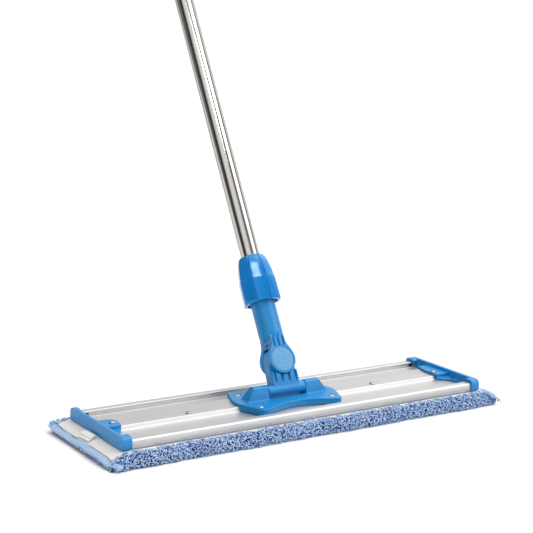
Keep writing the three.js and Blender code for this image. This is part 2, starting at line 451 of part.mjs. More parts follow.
// guide bush clipped under the inner tube's lower end, running in the outer tube
{
  const b = turnZ([[0, INNER_S0 - 8], [9.4, INNER_S0 - 8], [10.08, INNER_S0 - 6.5], [10.08, INNER_S0 - 0.3], [8.6, INNER_S0 - 0.3], [8.6, INNER_S0 + 14], [7.2, INNER_S0 + 14], [7.2, INNER_S0 - 4], [0, INNER_S0 - 4]], 20);
  add(handle, 'guide_bush', b, GREY());
}
{
  const pr = [[INNER_R + 0.15, GRIP_S0], [12.6, GRIP_S0], [13.6, GRIP_S0 + 2], [13.8, GRIP_S0 + 6]];
  for (let i = 0; i < 6; i++) { const z = GRIP_S0 + 16 + i * 21; pr.push([14.0, z], [13.0, z + 2.4], [14.0, z + 4.8]); }
  pr.push([14.2, GRIP_S1 - 3], [13.4, GRIP_S1], [INNER_R + 0.15, GRIP_S1], [INNER_R + 0.15, GRIP_S0]);
  add(handle, 'grip', turnZ(pr, 22), GRIP());
  // end cap with a hanging hole
  let cap = turnZ([[0, INNER_S1 - 16], [8.5, INNER_S1 - 16], [8.5, INNER_S1 + 0.3], [10.4, INNER_S1 + 0.3], [10.4, GRIP_S1 + 0.3], [13.4, GRIP_S1 + 0.3], [13.6, GRIP_S1 + 6], [12.4, 1134], [8, 1139], [0, 1140]], 22);
  const lug = alongY([...arc(0, HANG_S, 12.5, -20, 200, 14), [-12, 1132], [12, 1132]], -4, 4);
  cap = cut(cap.add(lug), rodY(6.5, -10, 10, 0, HANG_S, 20));
  add(handle, 'grip_cap', cap, BLUE());
}

export default mop;
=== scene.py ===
import math

import bmesh
import bpy
import numpy as np
from mathutils import Matrix, Vector, noise


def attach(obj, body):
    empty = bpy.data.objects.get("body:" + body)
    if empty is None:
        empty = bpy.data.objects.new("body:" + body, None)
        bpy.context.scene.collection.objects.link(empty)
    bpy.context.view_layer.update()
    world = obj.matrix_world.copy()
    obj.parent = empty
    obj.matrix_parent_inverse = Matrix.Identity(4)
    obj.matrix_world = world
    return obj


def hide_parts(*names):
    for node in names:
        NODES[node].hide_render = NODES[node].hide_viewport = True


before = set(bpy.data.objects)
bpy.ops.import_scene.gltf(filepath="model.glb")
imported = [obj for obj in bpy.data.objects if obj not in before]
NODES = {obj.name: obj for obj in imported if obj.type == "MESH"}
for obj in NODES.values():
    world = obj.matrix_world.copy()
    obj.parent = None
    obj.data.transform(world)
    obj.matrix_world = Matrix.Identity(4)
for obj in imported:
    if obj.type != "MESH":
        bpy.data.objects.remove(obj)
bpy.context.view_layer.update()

scene = bpy.context.scene
scene.view_settings.view_transform = "Standard"
MM = 0.001

# ---------------------------------------------------------------- camera
yaw, pitch, roll = (math.radians(a) for a in (32.870, 10.760, 1.340))
fw = Vector((math.sin(yaw) * math.cos(pitch), math.cos(yaw) * math.cos(pitch), -math.sin(pitch)))
right = Vector((math.cos(yaw), -math.sin(yaw), 0.0))
up = right.cross(fw)
cx = right * math.cos(roll) + up * math.sin(roll)
cy = -right * math.sin(roll) + up * math.cos(roll)
cam_data = bpy.data.cameras.new("camera")
cam_data.sensor_width = 36.0
cam_data.lens = 36.0 * 1358.57 / 533.0
cam_data.clip_start, cam_data.clip_end = 0.05, 200.0
cam = bpy.data.objects.new("camera", cam_data)
cam.matrix_world = Matrix((
    (cx.x, cy.x, -fw.x, -0.8415),
    (cx.y, cy.y, -fw.y, -1.2577),
    (cx.z, cy.z, -fw.z, 0.4649),
    (0, 0, 0, 1)))
scene.collection.objects.link(cam)
scene.camera = cam

# ---------------------------------------------------------------- mesh helpers (millimetres in, metres out)
LEAN = math.radians(29.5)
HANDLE = Matrix.Translation((0, 0, 34.7 * MM)) @ Matrix.Rotation(-LEAN, 4, "X")   # handle frame to row frame
HANDLE_INV = HANDLE.inverted()


def smoothstep(t):
    t = np.clip(t, 0.0, 1.0)
    return t * t * (3 - 2 * t)


def make(name, verts, faces, smooth=True):
    me = bpy.data.meshes.new(name)
    me.from_pydata([tuple(float(c) * MM for c in v) for v in verts], [], [tuple(int(i) for i in f) for f in faces])
    me.update()
    bm = bmesh.new()
    bm.from_mesh(me)
    bmesh.ops.recalc_face_normals(bm, faces=bm.faces)
    bm.to_mesh(me)
    bm.free()
    ob = bpy.data.objects.new(name, me)
    scene.collection.objects.link(ob)
    if smooth:
        me.shade_smooth()
    return ob


def rounded(pts, steps=5):
    """A polygon with its corners rounded; each point is (x, y, radius)."""
    out = []
    n = len(pts)
    for i, p in enumerate(pts):
        x, y = p[0], p[1]
        r = p[2] if len(p) > 2 else 0
        if not r:
            out.append((x, y))
            continue
        a = np.array(pts[i - 1][:2], float) - (x, y)
        b = np.array(pts[(i + 1) % n][:2], float) - (x, y)
        a /= np.linalg.norm(a)
        b /= np.linalg.norm(b)
        half = math.acos(max(-1, min(1, float(a @ b)))) / 2
        t = r / math.tan(half)
        m = (a + b) / np.linalg.norm(a + b)
        c = np.array((x, y)) + m * r / math.sin(half)
        s, e = np.array((x, y)) + a * t - c, np.array((x, y)) + b * t - c
        a0 = math.atan2(s[1], s[0])
        da = (math.atan2(e[1], e[0]) - a0 + math.pi) % (2 * math.pi) - math.pi
        for k in range(steps + 1):
            q = a0 + da * k / steps
            out.append((c[0] + r * math.cos(q), c[1] + r * math.sin(q)))
    return out


def arc(cx_, cy_, r, a0, a1, n):
    return [(cx_ + r * math.cos(math.radians(a0 + (a1 - a0) * k / n)), cy_ + r * math.sin(math.radians(a0 + (a1 - a0) * k / n))) for k in range(n + 1)]


def prism(pts, lo, hi, axis="Z", name="tool"):
    """A closed outline swept along an axis. X: outline is (y, z). Y: (x, z). Z: (x, y)."""
    put = {"X": lambda p, w: (w, p[0], p[1]), "Y": lambda p, w: (p[0], w, p[1]), "Z": lambda p, w: (p[0], p[1], w)}[axis]
    n = len(pts)
    v = [put(p, lo) for p in pts] + [put(p, hi) for p in pts]
    f = [tuple(range(n)), tuple(range(2 * n - 1, n - 1, -1))]
    f += [(i, (i + 1) % n, n + (i + 1) % n, n + i) for i in range(n)]
    return make(name, v, f, smooth=False)


def box(x0, x1, y0, y1, z0, z1, name="tool"):
    return prism([(x0, y0), (x1, y0), (x1, y1), (x0, y1)], z0, z1, "Z", name)


def lathe(profile, seg=96, axis="Z", at=(0, 0, 0), name="tool", loop=False):
    """A (radius, height) profile turned about an axis. It starts and ends on the axis, or loop closes it on itself."""
    v, rows = [], []
    for r, h in profile:
        if r < 1e-6:
            rows.append([len(v)])
            v.append((0, 0, h))
        else:
            rows.append(list(range(len(v), len(v) + seg)))
            v += [(r * math.cos(2 * math.pi * k / seg), r * math.sin(2 * math.pi * k / seg), h) for k in range(seg)]
    f = []
    pairs = list(zip(rows, rows[1:])) + ([(rows[-1], rows[0])] if loop else [])
    for a, b in pairs:
        for k in range(seg):
            k2 = (k + 1) % seg
            if len(a) == 1 and len(b) == 1:
                continue
            if len(a) == 1:
                f.append((a[0], b[k], b[k2]))
            elif len(b) == 1:
                f.append((a[k], b[0], a[k2]))
            else:
                f.append((a[k], b[k], b[k2], a[k2]))
    put = {"Z": lambda p: p, "Y": lambda p: (p[0], p[2], -p[1]), "X": lambda p: (p[2], p[0], p[1])}[axis]
    return make(name, [tuple(c + d for c, d in zip(put(p), at)) for p in v], f)


def rod(r, lo, hi, axis="Z", at=(0, 0), seg=64, name="tool"):
    put = {"X": (0, at[0], at[1]), "Y": (at[0], 0, at[1]), "Z": (at[0], at[1], 0)}[axis]
    prof = [(0, lo), (r, lo), (r, hi), (0, hi)]
    return lathe(prof, seg, axis, put, name)


def bake_modifiers(ob):
    dg = bpy.context.evaluated_depsgraph_get()
    me = bpy.data.meshes.new_from_object(ob.evaluated_get(dg))
    ob.modifiers.clear()
    old, ob.data = ob.data, me
    bpy.data.meshes.remove(old)
    me.name = ob.name
    return ob


def combine(base, tools, op):
    """base joined with, or cut by, each tool; the tools are used up."""
    for t in tools:
        m = base.modifiers.new("b", "BOOLEAN")
        m.operation, m.object, m.solver = op, t, "EXACT"
    bake_modifiers(base)
    for t in tools:
        me = t.data
        bpy.data.objects.remove(t)
        bpy.data.meshes.remove(me)
    return base


def soften(ob, voxel, passes=4, factor=0.5):
    """Moulded look: an even fine mesh whose edges are slightly rounded."""
    m = ob.modifiers.new("remesh", "REMESH")
    m.mode, m.voxel_size, m.adaptivity = "VOXEL", voxel * MM, 0.0
    m.use_smooth_shade = True
    s = ob.modifiers.new("smooth", "SMOOTH")
    s.factor, s.iterations = factor, passes
    bake_modifiers(ob)
    ob.data.shade_smooth()
    return ob


def crisp(ob, angle=35):
    ob.data.shade_smooth()
    ob.data.set_sharp_from_angle(angle=math.radians(angle))
    return ob


def copy_node(node, name, matrix=None):
    """A welded copy of a CAD node's mesh, optionally in another frame."""
    me = NODES[node].data.copy()
    bm = bmesh.new()
    bm.from_mesh(me)
    bmesh.ops.remove_doubles(bm, verts=bm.verts, dist=1e-6)
    if matrix is not None:
        bmesh.ops.transform(bm, matrix=matrix, verts=bm.verts)
    bmesh.ops.recalc_face_normals(bm, faces=bm.faces)
    clean = bpy.data.meshes.new(name)
    bm.to_mesh(clean)
    bm.free()
    bpy.data.meshes.remove(me)
    ob = bpy.data.objects.new(name, clean)
    scene.collection.objects.link(ob)
    return ob


def place(ob, matrix=HANDLE):
    ob.data.transform(matrix)
    ob.data.update()
    return ob


def finish_piece(ob, body, material, replaces=()):
    ob.data.materials.clear()
    ob.data.materials.append(material)
    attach(ob, body)
    if replaces:
        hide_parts(*replaces)
    return ob


# ---------------------------------------------------------------- materials
def lin(r, g, b):
    return tuple(((c / 255) / 12.92 if c / 255 <= 0.04045 else ((c / 255 + 0.055) / 1.055) ** 2.4) for c in (r, g, b)) + (1.0,)


class Mat:
    """A small builder for node materials. Coordinates are the row frame's, in metres."""

    def __init__(self, name):
        self.m = bpy.data.materials.new(name)
        self.m.use_nodes = True
        self.t = self.m.node_tree
        self.p = self.t.nodes["Principled BSDF"]
        self.co = self.t.nodes.new("ShaderNodeTexCoord").outputs["Object"]

    def node(self, kind, **values):
        n = self.t.nodes.new(kind)
        for k, v in values.items():
            if k.startswith("i_"):
                n.inputs[k[2:].replace("_", " ")].default_value = v
            else:
                setattr(n, k, v)
        return n

    def link(self, a, b):
        self.t.links.new(a, b)

    def stretch(self, sx, sy, sz, rot=(0, 0, 0)):
        n = self.node("ShaderNodeMapping")
        n.vector_type = "POINT"
        n.inputs["Rotation"].default_value = rot
        n.inputs["Scale"].default_value = (sx, sy, sz)
        self.link(self.co, n.inputs["Vector"])
        return n.outputs["Vector"]

    def noise(self, scale, detail=3.0, rough=0.55, vector=None, dist=0.0):
        n = self.node("ShaderNodeTexNoise")
        n.inputs["Scale"].default_value = scale
        n.inputs["Detail"].default_value = detail
        n.inputs["Roughness"].default_value = rough
        n.inputs["Distortion"].default_value = dist
        self.link(vector or self.co, n.inputs["Vector"])
        return n.outputs["Fac"]

    def voronoi(self, scale, vector=None, feature="F1", rand=1.0):
        n = self.node("ShaderNodeTexVoronoi")
        n.feature = feature
        n.inputs["Scale"].default_value = scale
        n.inputs["Randomness"].default_value = rand
        self.link(vector or self.co, n.inputs["Vector"])
        return n.outputs["Distance"]

    def range(self, value, a, b, c, d, clamp=True):
        n = self.node("ShaderNodeMapRange")
        n.clamp = clamp
        for k, v in zip(("From Min", "From Max", "To Min", "To Max"), (a, b, c, d)):
            n.inputs[k].default_value = v
        self.link(value, n.inputs["Value"])
        return n.outputs["Result"]

    def math(self, op, a, b=None):
        n = self.node("ShaderNodeMath", operation=op)
        for i, x in enumerate((a, b)):
            if x is None:
                continue
            if isinstance(x, (int, float)):
                n.inputs[i].default_value = x
            else:
                self.link(x, n.inputs[i])
        return n.outputs[0]

    def ramp(self, value, stops):
        n = self.node("ShaderNodeValToRGB")
        e = n.color_ramp.elements
        while len(e) < len(stops):
            e.new(0.5)
        for k, (pos, col) in enumerate(stops):
            e[k].position, e[k].color = pos, col
        self.link(value, n.inputs["Fac"])
        return n.outputs["Color"]

    def mix(self, fac, a, b, blend="MIX"):
        n = self.node("ShaderNodeMix", data_type="RGBA", blend_type=blend)
        for sock, x in ((n.inputs[0], fac), (n.inputs[6], a), (n.inputs[7], b)):
            if isinstance(x, (int, float, tuple)):
                sock.default_value = x
            else:
                self.link(x, sock)
        return n.outputs[2]

    def bump(self, height, strength=0.2, dist=0.0003, normal=None):
        n = self.node("ShaderNodeBump")
        n.inputs["Strength"].default_value = strength
        n.inputs["Distance"].default_value = dist
        self.link(height, n.inputs["Height"])
        if normal:
            self.link(normal, n.inputs["Normal"])
        return n.outputs["Normal"]

    def attribute(self, name):
        return self.node("ShaderNodeAttribute", attribute_name=name).outputs["Fac"]

    def pointiness(self):
        return self.node("ShaderNodeNewGeometry").outputs["Pointiness"]

    def set(self, **sockets):
        for k, v in sockets.items():
            s = self.p.inputs[k.replace("_", " ")]
            if isinstance(v, (int, float, tuple)):
                s.default_value = v
            else:
                self.link(v, s)
        return self


def plastic(name, rgb, rough, dark=0.86, light=1.06, grain=900, grain_strength=0.12, coat=0.0, edge=0.18):
    m = Mat(name)
    base = lin(*rgb)
    lo = tuple(c * dark for c in base[:3]) + (1,)
    hi = tuple(min(1, c * light) for c in base[:3]) + (1,)
    cloud = m.noise(14, 4, 0.6)
    colour = m.mix(m.range(cloud, 0.3, 0.7, 0, 1), lo, hi)
    # worn, slightly paler edges and pale specks
    tip = m.range(m.pointiness(), 0.53, 0.60, 0, edge)
    worn = tuple(min(1, c * 1.35 + 0.03) for c in base[:3]) + (1,)
    colour = m.mix(tip, colour, worn)
    specks = m.range(m.noise(520, 2, 0.7), 0.68, 0.78, 0, 0.10)
    colour = m.mix(specks, colour, tuple(min(1, c * 1.5 + 0.02) for c in base[:3]) + (1,))
    scuff = m.range(m.noise(60, 5, 0.65, m.stretch(1, 1, 0.25)), 0.35, 0.75, rough * 0.82, rough * 1.3)
    n = m.bump(m.noise(grain, 2, 0.6), grain_strength, 0.00012)
    m.set(Base_Color=colour, Roughness=scuff, Normal=n, Coat_Weight=coat, Coat_Roughness=0.08)
    m.p.inputs["Specular IOR Level"].default_value = 0.5
    return m.m


def brushed(name, rgb, rough, stretch=(0.6, 220, 220), strength=0.05, metallic=1.0, spread=0.09, rot=(0, 0, 0), aniso=0.0):
    m = Mat(name)
    base = lin(*rgb)
    vec = m.stretch(*stretch, rot=rot)
    lines = m.noise(5.5, 5, 0.7, vec)
    cloud = m.noise(9, 3, 0.55)
    colour = m.mix(m.range(lines, 0.3, 0.7, 0, 1), tuple(c * 0.93 for c in base[:3]) + (1,), tuple(min(1, c * 1.05) for c in base[:3]) + (1,))
    colour = m.mix(m.range(cloud, 0.35, 0.75, 0, 0.25), colour, tuple(c * 0.88 for c in base[:3]) + (1,))
    r = m.range(lines, 0.25, 0.75, rough - spread * 0.5, rough + spread)
    r = m.math("ADD", r, m.range(cloud, 0.35, 0.75, 0, 0.05))
    m.set(Base_Color=colour, Roughness=r, Metallic=metallic, Normal=m.bump(lines, strength, 0.00008), Anisotropic=aniso)
    return m.m


BLUE = plastic("blue_plastic", (14, 131, 196), 0.36)
BLUE_GLOSS = plastic("blue_gloss_plastic", (8, 121, 194), 0.12, grain=500, grain_strength=0.02, coat=0.4, edge=0.12)
BLUE_GLOSS.node_tree.nodes["Principled BSDF"].inputs["Specular Tint"].default_value = (0.4, 0.7, 1.0, 1)
BLUE_LIGHT = plastic("light_blue_plastic", (78, 147, 195), 0.32, grain=700, grain_strength=0.08)
GREY = plastic("grey_plastic", (140, 145, 150), 0.5)
RUBBER = plastic("grip_rubber", (40, 44, 50), 0.72, grain=1400, grain_strength=0.35, edge=0.1)
ALU = brushed("aluminium", (212, 211, 210), 0.44, strength=0.08)
STEEL = brushed("stainless_steel", (208, 205, 201), 0.09, stretch=(200, 200, 0.8), strength=0.02, spread=0.05, rot=(LEAN, 0, 0))
STEEL.node_tree.nodes["Principled BSDF"].inputs["Specular Tint"].default_value = (0.2, 0.19, 0.18, 1)   # polished tube darkens at grazing angles
ZINC = brushed("zinc_steel", (186, 184, 182), 0.24, stretch=(60, 60, 60), strength=0.06)


def pile_material():
    m = Mat("pile")
    tone, tip = m.attribute("tone"), m.attribute("tip")
    # painted light along each loop: painted shade at the roots and a painted highlight at the tips of the taller loops,
    # multiplied below by the loop's own random tone
    painted_root_shade_tip_light = m.ramp(tip, [(0.0, lin(12, 28, 82)), (0.3, lin(40, 74, 150)), (0.58, lin(132, 172, 222)), (1.0, lin(226, 238, 250))])
    tint = m.ramp(tone, [(0.0, lin(84, 116, 180)), (0.3, lin(152, 184, 226)), (0.62, lin(214, 230, 246)), (1.0, lin(252, 252, 252))])
    colour = m.mix(0.85, painted_root_shade_tip_light, tint, "MULTIPLY")
    colour = m.mix(m.range(m.noise(26, 3), 0.35, 0.7, 0, 0.16), colour, lin(56, 92, 172))
    fibre = m.noise(2600, 2, 0.7)
    colour = m.mix(m.range(fibre, 0.45, 0.75, 0, 0.22), colour, lin(218, 232, 252))
    m.set(Base_Color=colour, Roughness=m.range(fibre, 0.3, 0.7, 0.82, 0.97), Normal=m.bump(fibre, 0.5, 0.0002), Sheen_Weight=0.25, Sheen_Roughness=0.5)
    m.p.inputs["Specular IOR Level"].default_value = 0.2
    return m.m


def pile_base_material():
    m = Mat("pile_base")
    v = m.voronoi(260)
    n = m.noise(420, 4, 0.7)
    f = m.math("MULTIPLY", m.range(v, 0.0, 0.75, 1, 0), m.range(n, 0.3, 0.7, 0.5, 1.0))
    colour = m.ramp(f, [(0.0, lin(14, 28, 78)), (0.4, lin(36, 64, 138)), (0.75, lin(84, 124, 200)), (1.0, lin(150, 186, 238))])
    m.set(Base_Color=colour, Roughness=m.range(n, 0.3, 0.7, 0.85, 0.98), Normal=m.bump(f, 0.8, 0.0008))
    m.p.inputs["Specular IOR Level"].default_value = 0.15
    return m.m


def cloth_material(name, rgb, thread=1500, dark=0.9, strength=0.5, rough=0.85, rot=(0, 0, 0)):
    m = Mat(name)
    base = lin(*rgb)
    a = m.node("ShaderNodeTexWave", wave_type="BANDS", bands_direction="X")
    b = m.node("ShaderNodeTexWave", wave_type="BANDS", bands_direction="Y")
    vec = m.stretch(1, 1, 1, rot)
    for w in (a, b):
        w.inputs["Scale"].default_value = thread / 6.28
        w.inputs["Distortion"].default_value = 0.6
        w.inputs["Detail"].default_value = 1.0
        m.link(vec, w.inputs["Vector"])
    weave = m.math("MULTIPLY", a.outputs["Fac"], b.outputs["Fac"])
    cloud = m.noise(18, 4, 0.6)
    colour = m.mix(m.range(weave, 0.0, 0.8, 0, 1), tuple(c * dark for c in base[:3]) + (1,), base)
    colour = m.mix(m.range(cloud, 0.4, 0.75, 0, 0.3), colour, tuple(c * 0.9 for c in base[:3]) + (1,))
    n = m.bump(weave, strength, 0.00015)
    n = m.bump(m.noise(90, 3), 0.15, 0.0006, n)
    m.set(Base_Color=colour, Roughness=m.range(cloud, 0.3, 0.7, rough - 0.06, rough + 0.06), Normal=n, Sheen_Weight=0.15)
    m.p.inputs["Specular IOR Level"].default_value = 0.25
    return m.m


PILE, PILE_BASE = pile_material(), pile_base_material()
BACKING = cloth_material("backing", (234, 231, 226), 1500)
BINDING = cloth_material("binding", (176, 203, 238), 2200, dark=0.84, strength=0.7)
TAG = cloth_material("tag", (240, 238, 233), 4200, dark=0.95, strength=0.2, rough=0.6)
HOOK = plastic("hook_tape", (44, 45, 49), 0.8, grain=1600, grain_strength=0.9, edge=0.05)

# ---------------------------------------------------------------- aluminium extrusion
profile = rounded([
    (62, 16.3, 0.5), (62, 26, 2.6), (51.5, 26, 0.9), (51.5, 19.2, 0.45), (30, 19.2, 0.8), (28, 23.7, 0.8),
    (-7, 23.7, 0.8), (-9, 19.2, 0.8), (-51.5, 19.2, 0.45), (-51.5, 26, 0.9), (-62, 26, 2.6), (-62, 16.3, 0.5),
    (-51.5, 16.3), (-51.5, 17.2), (-7, 17.2), (-5.2, 21.7), (26.2, 21.7), (28, 17.2), (51.5, 17.2), (51.5, 16.3)], 6)
extrusion = prism(profile, -235, 235, "X", "frame_profile")
tools = []
for s in (-1, 1):
    i, o = s * 53.1, s * 60.4
    tools.append(prism([(i, 17.9), (o, 17.9), (o, 23.2), (o - s * 1.4, 24.4), (i, 24.4)], -240, 240, "X"))
    tools.append(rod(2.1, 15, 30, "Z", (s * 220.5, 0), 24))
    tools.append(rod(2.1, 15, 30, "Z", (s * 126.6, 0), 24))
    for t in (-1, 1):
        tools.append(rod(2.1, 15, 30, "Z", (s * 48.3, t * 25.7), 24))
        y0 = 50.5 if t > 0 else -54.5
        x0 = 223.5 if s > 0 else -229.5
        tools.append(box(x0, x0 + 6, y0, y0 + 4, 20.4, 24.2))
for x in (-218, -206, -84, 92, 163):
    tools.append(box(x - 3, x + 3, 51, 52.1, 21.6, 22.8))
combine(extrusion, tools, "DIFFERENCE")
crisp(extrusion, 32)
finish_piece(extrusion, "head", ALU, ["frame_extrusion"])

# ---------------------------------------------------------------- moulded parts that keep the CAD shape
for side in ("left", "right"):
    cap = copy_node(f"end_cap_{side}", f"end_cap_moulding_{side}")
    if side == "left":
        # the tab on the deck is short and round here: it stops at y 13.8 and reaches a little further in,
        # and the hook round the rear rail is shorter
        combine(cap, [prism([(-235.4, 13.4), (-228.1, 13.7), (-223.8, 13.8), (-218.5, 12.6), (-215.2, 10.8), (-209, 9.5), (-209, 32.9), (-235.4, 32.9)], 21.75, 27.6),
                      box(-233.4, -226, 47, 66, 14, 31)], "DIFFERENCE")
        combine(cap, [prism([(-220, -11.4), (-215, -11.4), (-213.4, -5), (-212.8, 0), (-212.5, 4), (-212.9, 7), (-215.2, 10.8), (-218.5, 12.6), (-220, 13), (-217.6, 4), (-217.6, -4)], 24.0, 26.6),
                      prism([(-220, -11.4), (-215, -11.4), (-214.5, -9.5), (-220, -9.5)], 19.5, 26.6),
                      prism([(-226, -20), (-222.5, -20), (-217.4, -15.5), (-215, -10), (-226, -10)], 19.5, 21.7)], "UNION")
    soften(cap, 0.5, 4)
    finish_piece(cap, "head", BLUE, [f"end_cap_{side}"])
yoke = soften(copy_node("yoke_plate", "yoke_moulding"), 0.6, 4)
finish_piece(yoke, "head", BLUE, ["yoke_plate"])
knuckle = place(soften(copy_node("lower_knuckle", "knuckle_moulding", HANDLE_INV), 0.45, 5))
finish_piece(knuckle, "knuckle", BLUE, ["lower_knuckle"])

# ---------------------------------------------------------------- handle socket
half = [(13.9, 44.2), (12.6, 46.2), (11.3, 48.6), (10.1, 51.6), (9.5, 55), (9.4, 60), (9.4, 66.5)]
ears = prism(arc(0, 33, 17.2, -211, 31, 72) + half + [(-x, z) for x, z in reversed(half)], -12.7, 12.7, "Y", "socket_moulding")
combine(ears, [prism([(d * 12.8, 60), (d * 9.9, 66.6), (d * 14, 66.6), (d * 14, 60)], -12, 12, "X") for d in (-1, 1)], "DIFFERENCE")
wall = [(0, 56), (11.6, 57.4), (13.2, 60), (14, 61.9), (14.4, 64), (14.4, 108)]
for i in range(3):
    z = 110.5 + 5 * i
    wall += [(15.0, z - 0.8), (15.8, z + 1), (15.0, z + 2.8)]
wall += [(15.0, 127.5), (14.6, 129), (13.7, 150), (13.0, 154), (11.1, 154), (11.1, 78), (11.3, 72.5), (0, 72.5)]
combine(ears, [lathe(wall, 96)], "UNION")
tools = [prism([(-30, 0), (30, 0), (30, 33)] + arc(0, 33, 18.8, 0, 180, 48) + [(-30, 33)], -6.5, 6.5, "Y")]
for x in (-6.2, 0, 6.2):
    for d in (-1, 1):
        tools.append(prism([(d * 17, 48.2), (d * 10.4, 48.2), (d * 10.4, 57.5), (d * 14.6, 65.4), (d * 17, 65.4)], x - 1.15, x + 1.15, "X"))
for d in (-1, 1):
    tools.append(box(7.6 if d > 0 else -16, 16 if d > 0 else -7.6, -4.4, 1.2, 49.9, 53.4))
    a, b = (10.8, 14) if d > 0 else (-14, -10.8)
    tools.append(rod(15.0, a, b, "Y", (0, 33), 96))
    a, b = (8.1, 12.7) if d > 0 else (-12.7, -8.1)
    tools.append(rod(7, a, b, "Y", (0, 33), 48))
tools.append(rod(3.1, -16, 16, "Y", (0, 33), 40))
tools += [box(-1, 1, -20, 20, 131, 160), box(-20, 20, -1, 1, 131, 160)]
combine(ears, tools, "DIFFERENCE")
soften(ears, 0.5, 4)
finish_piece(place(ears), "socket", BLUE, ["handle_socket"])

disc = [(0, 0), (14.55, 0), (14.7, 0.15), (14.7, 1.05), (14.6, 1.25), (14.35, 1.36), (13.8, 1.38), (13.5, 1.28), (13.2, 1.06), (12.9, 0.98),
        (12.5, 1.04), (9.2, 1.17), (8.7, 1.15), (8.4, 1.05), (8.05, 1.05), (7.75, 1.17), (7.2, 1.2), (3.1, 1.29), (2.7, 1.24), (2.45, 1.12),
        (2.0, 1.1), (1.7, 1.2), (1.3, 1.3), (0, 1.33)]
for name, d in (("front", -1), ("rear", 1)):
    c = lathe([(r, d * (11.1 + h)) for r, h in disc], 96, "Y", (0, 0, 33), f"pivot_disc_{name}")
    crisp(c, 60)
    finish_piece(place(c), "socket", BLUE_LIGHT, [f"pivot_cap_{name}"])


# ---------------------------------------------------------------- collars
def fluted(name, rows, lobes, groove, width=0.95):
    """A turned closed loop whose outer rows carry flats, with a narrow groove where two flats meet."""
    u = [0, .012, .024, .036, .048, .06, .075, .10, .14, .19, .25, .32, .40, .5]
    u = u + [1 - k for k in reversed(u[1:-1])]
    half_a = math.pi / lobes
    v, f, cols = [], [], lobes * len(u)
    for r, z, k in rows:
        for lobe in range(lobes):
            for w in u:
                d = (w - 0.5) * 2 * half_a
                flat = 0.22 + 0.78 * min(1.0, math.cos(half_a * 0.88) / math.cos(d))
                e = r * (half_a - abs(d))
                rr = r * flat - groove * max(0.0, 1 - (e / width) ** 2) ** 1.5
                rr = r + (rr - r) * k
                a = (lobe + w) * 2 * half_a
                v.append((rr * math.cos(a), rr * math.sin(a), z))
    for i in range(len(rows)):
        j = (i + 1) % len(rows)
        for c in range(cols):
            c2 = (c + 1) % cols
            f.append((i * cols + c, i * cols + c2, j * cols + c2, j * cols + c))
    return crisp(make(name, v, f), 50)


collar = fluted("lock_collar_moulding", [
    (18.6, 103.7, 0), (21.9, 103.6, 0.8), (22.4, 103.75, 0.95), (22.6, 104.3, 1), (22.6, 108, 1), (22.5, 116, 1), (22.35, 126, 1), (22.25, 130.8, 1),
    (22.18, 131.6, 1), (22.02, 132.4, 1), (21.8, 133.6, 1), (21.2, 138, 1), (20.5, 143, 1), (19.8, 147.3, 1), (19.1, 150.9, 1), (18.5, 153.3, 0.96), (17.7, 155.8, 0.9), (16.8, 158, 0.8), (15.8, 159.9, 0.6),
    (14.8, 160.9, 0.35), (13.7, 161.4, 0.1), (12.9, 161.4, 0), (12.45, 161.1, 0), (12.3, 160.6, 0), (12.3, 155.8, 0), (13.6, 154.9, 0),
    (14.1, 150, 0), (15.3, 129.4, 0), (16.3, 127.5, 0), (16.3, 109.5, 0), (18.4, 107.5, 0)], 8, 1.3, 0.95)
finish_piece(place(collar), "lower_collar", BLUE_GLOSS, ["lock_collar"])
upper = fluted("telescope_collar_moulding", [
    (15.9, 898.1, 0), (18.0, 898, 0.8), (18.4, 898.2, 0.95), (18.6, 898.8, 1), (18.3, 908, 1), (17.9, 919, 1), (17.5, 930, 1), (17.3, 932.5, 1),
    (16.6, 940, 1), (16.0, 945, 0.96), (15.2, 948, 0.85), (14.2, 951, 0.5), (13.2, 952.6, 0.2), (12.2, 953.1, 0), (11.2, 953.1, 0), (10.6, 952.7, 0),
    (10.5, 952.2, 0), (10.5, 949.6, 0), (12.0, 949.3, 0), (12.7, 944.4, 0), (13.4, 923, 0), (14.2, 921, 0), (14.2, 903, 0)], 8, 0.9)
finish_piece(place(upper), "upper_collar", BLUE_GLOSS, ["telescope_collar"])


# ---------------------------------------------------------------- pole
def tube(name, ri, ro, s0, s1, seg=128):
    e = 0.25
    rows = [(ri, s0 + e), (ri + e, s0), (ro - e, s0), (ro, s0 + e)]
    n = 10
    rows += [(ro, s0 + e + (s1 - s0 - 2 * e) * k / n) for k in range(1, n)]
    rows += [(ro, s1 - e), (ro - e, s1), (ri + e, s1), (ri, s1 - e)]
    return crisp(lathe(rows, seg, name=name, loop=True), 50)


finish_piece(place(tube("pole_lower_tube", 10.2, 11, 74, 905)), "pole", STEEL, ["outer_tube"])
finish_piece(place(tube("pole_inner_tube", 8.8, 9.5, 330, 1128)), "inner_pole", STEEL, ["inner_tube"])
sleeve = [(11.12, 868.3), (11.4, 868), (12.9, 868), (13.2, 868.4), (13.2, 906), (13.8, 908), (13.2, 910), (13.8, 913), (13.2, 916), (12.9, 922),
          (12.2, 944), (11.4, 948), (9.62, 948), (9.62, 906), (11.12, 905.6)]
sleeve = lathe(sleeve, 96, name="collet_sleeve", loop=True)
combine(sleeve, [box(-0.9, 0.9, -20, 20, 924, 960), box(-20, 20, -0.9, 0.9, 924, 960)], "DIFFERENCE")
finish_piece(place(crisp(sleeve, 40)), "pole", BLUE, ["telescope_collet"])

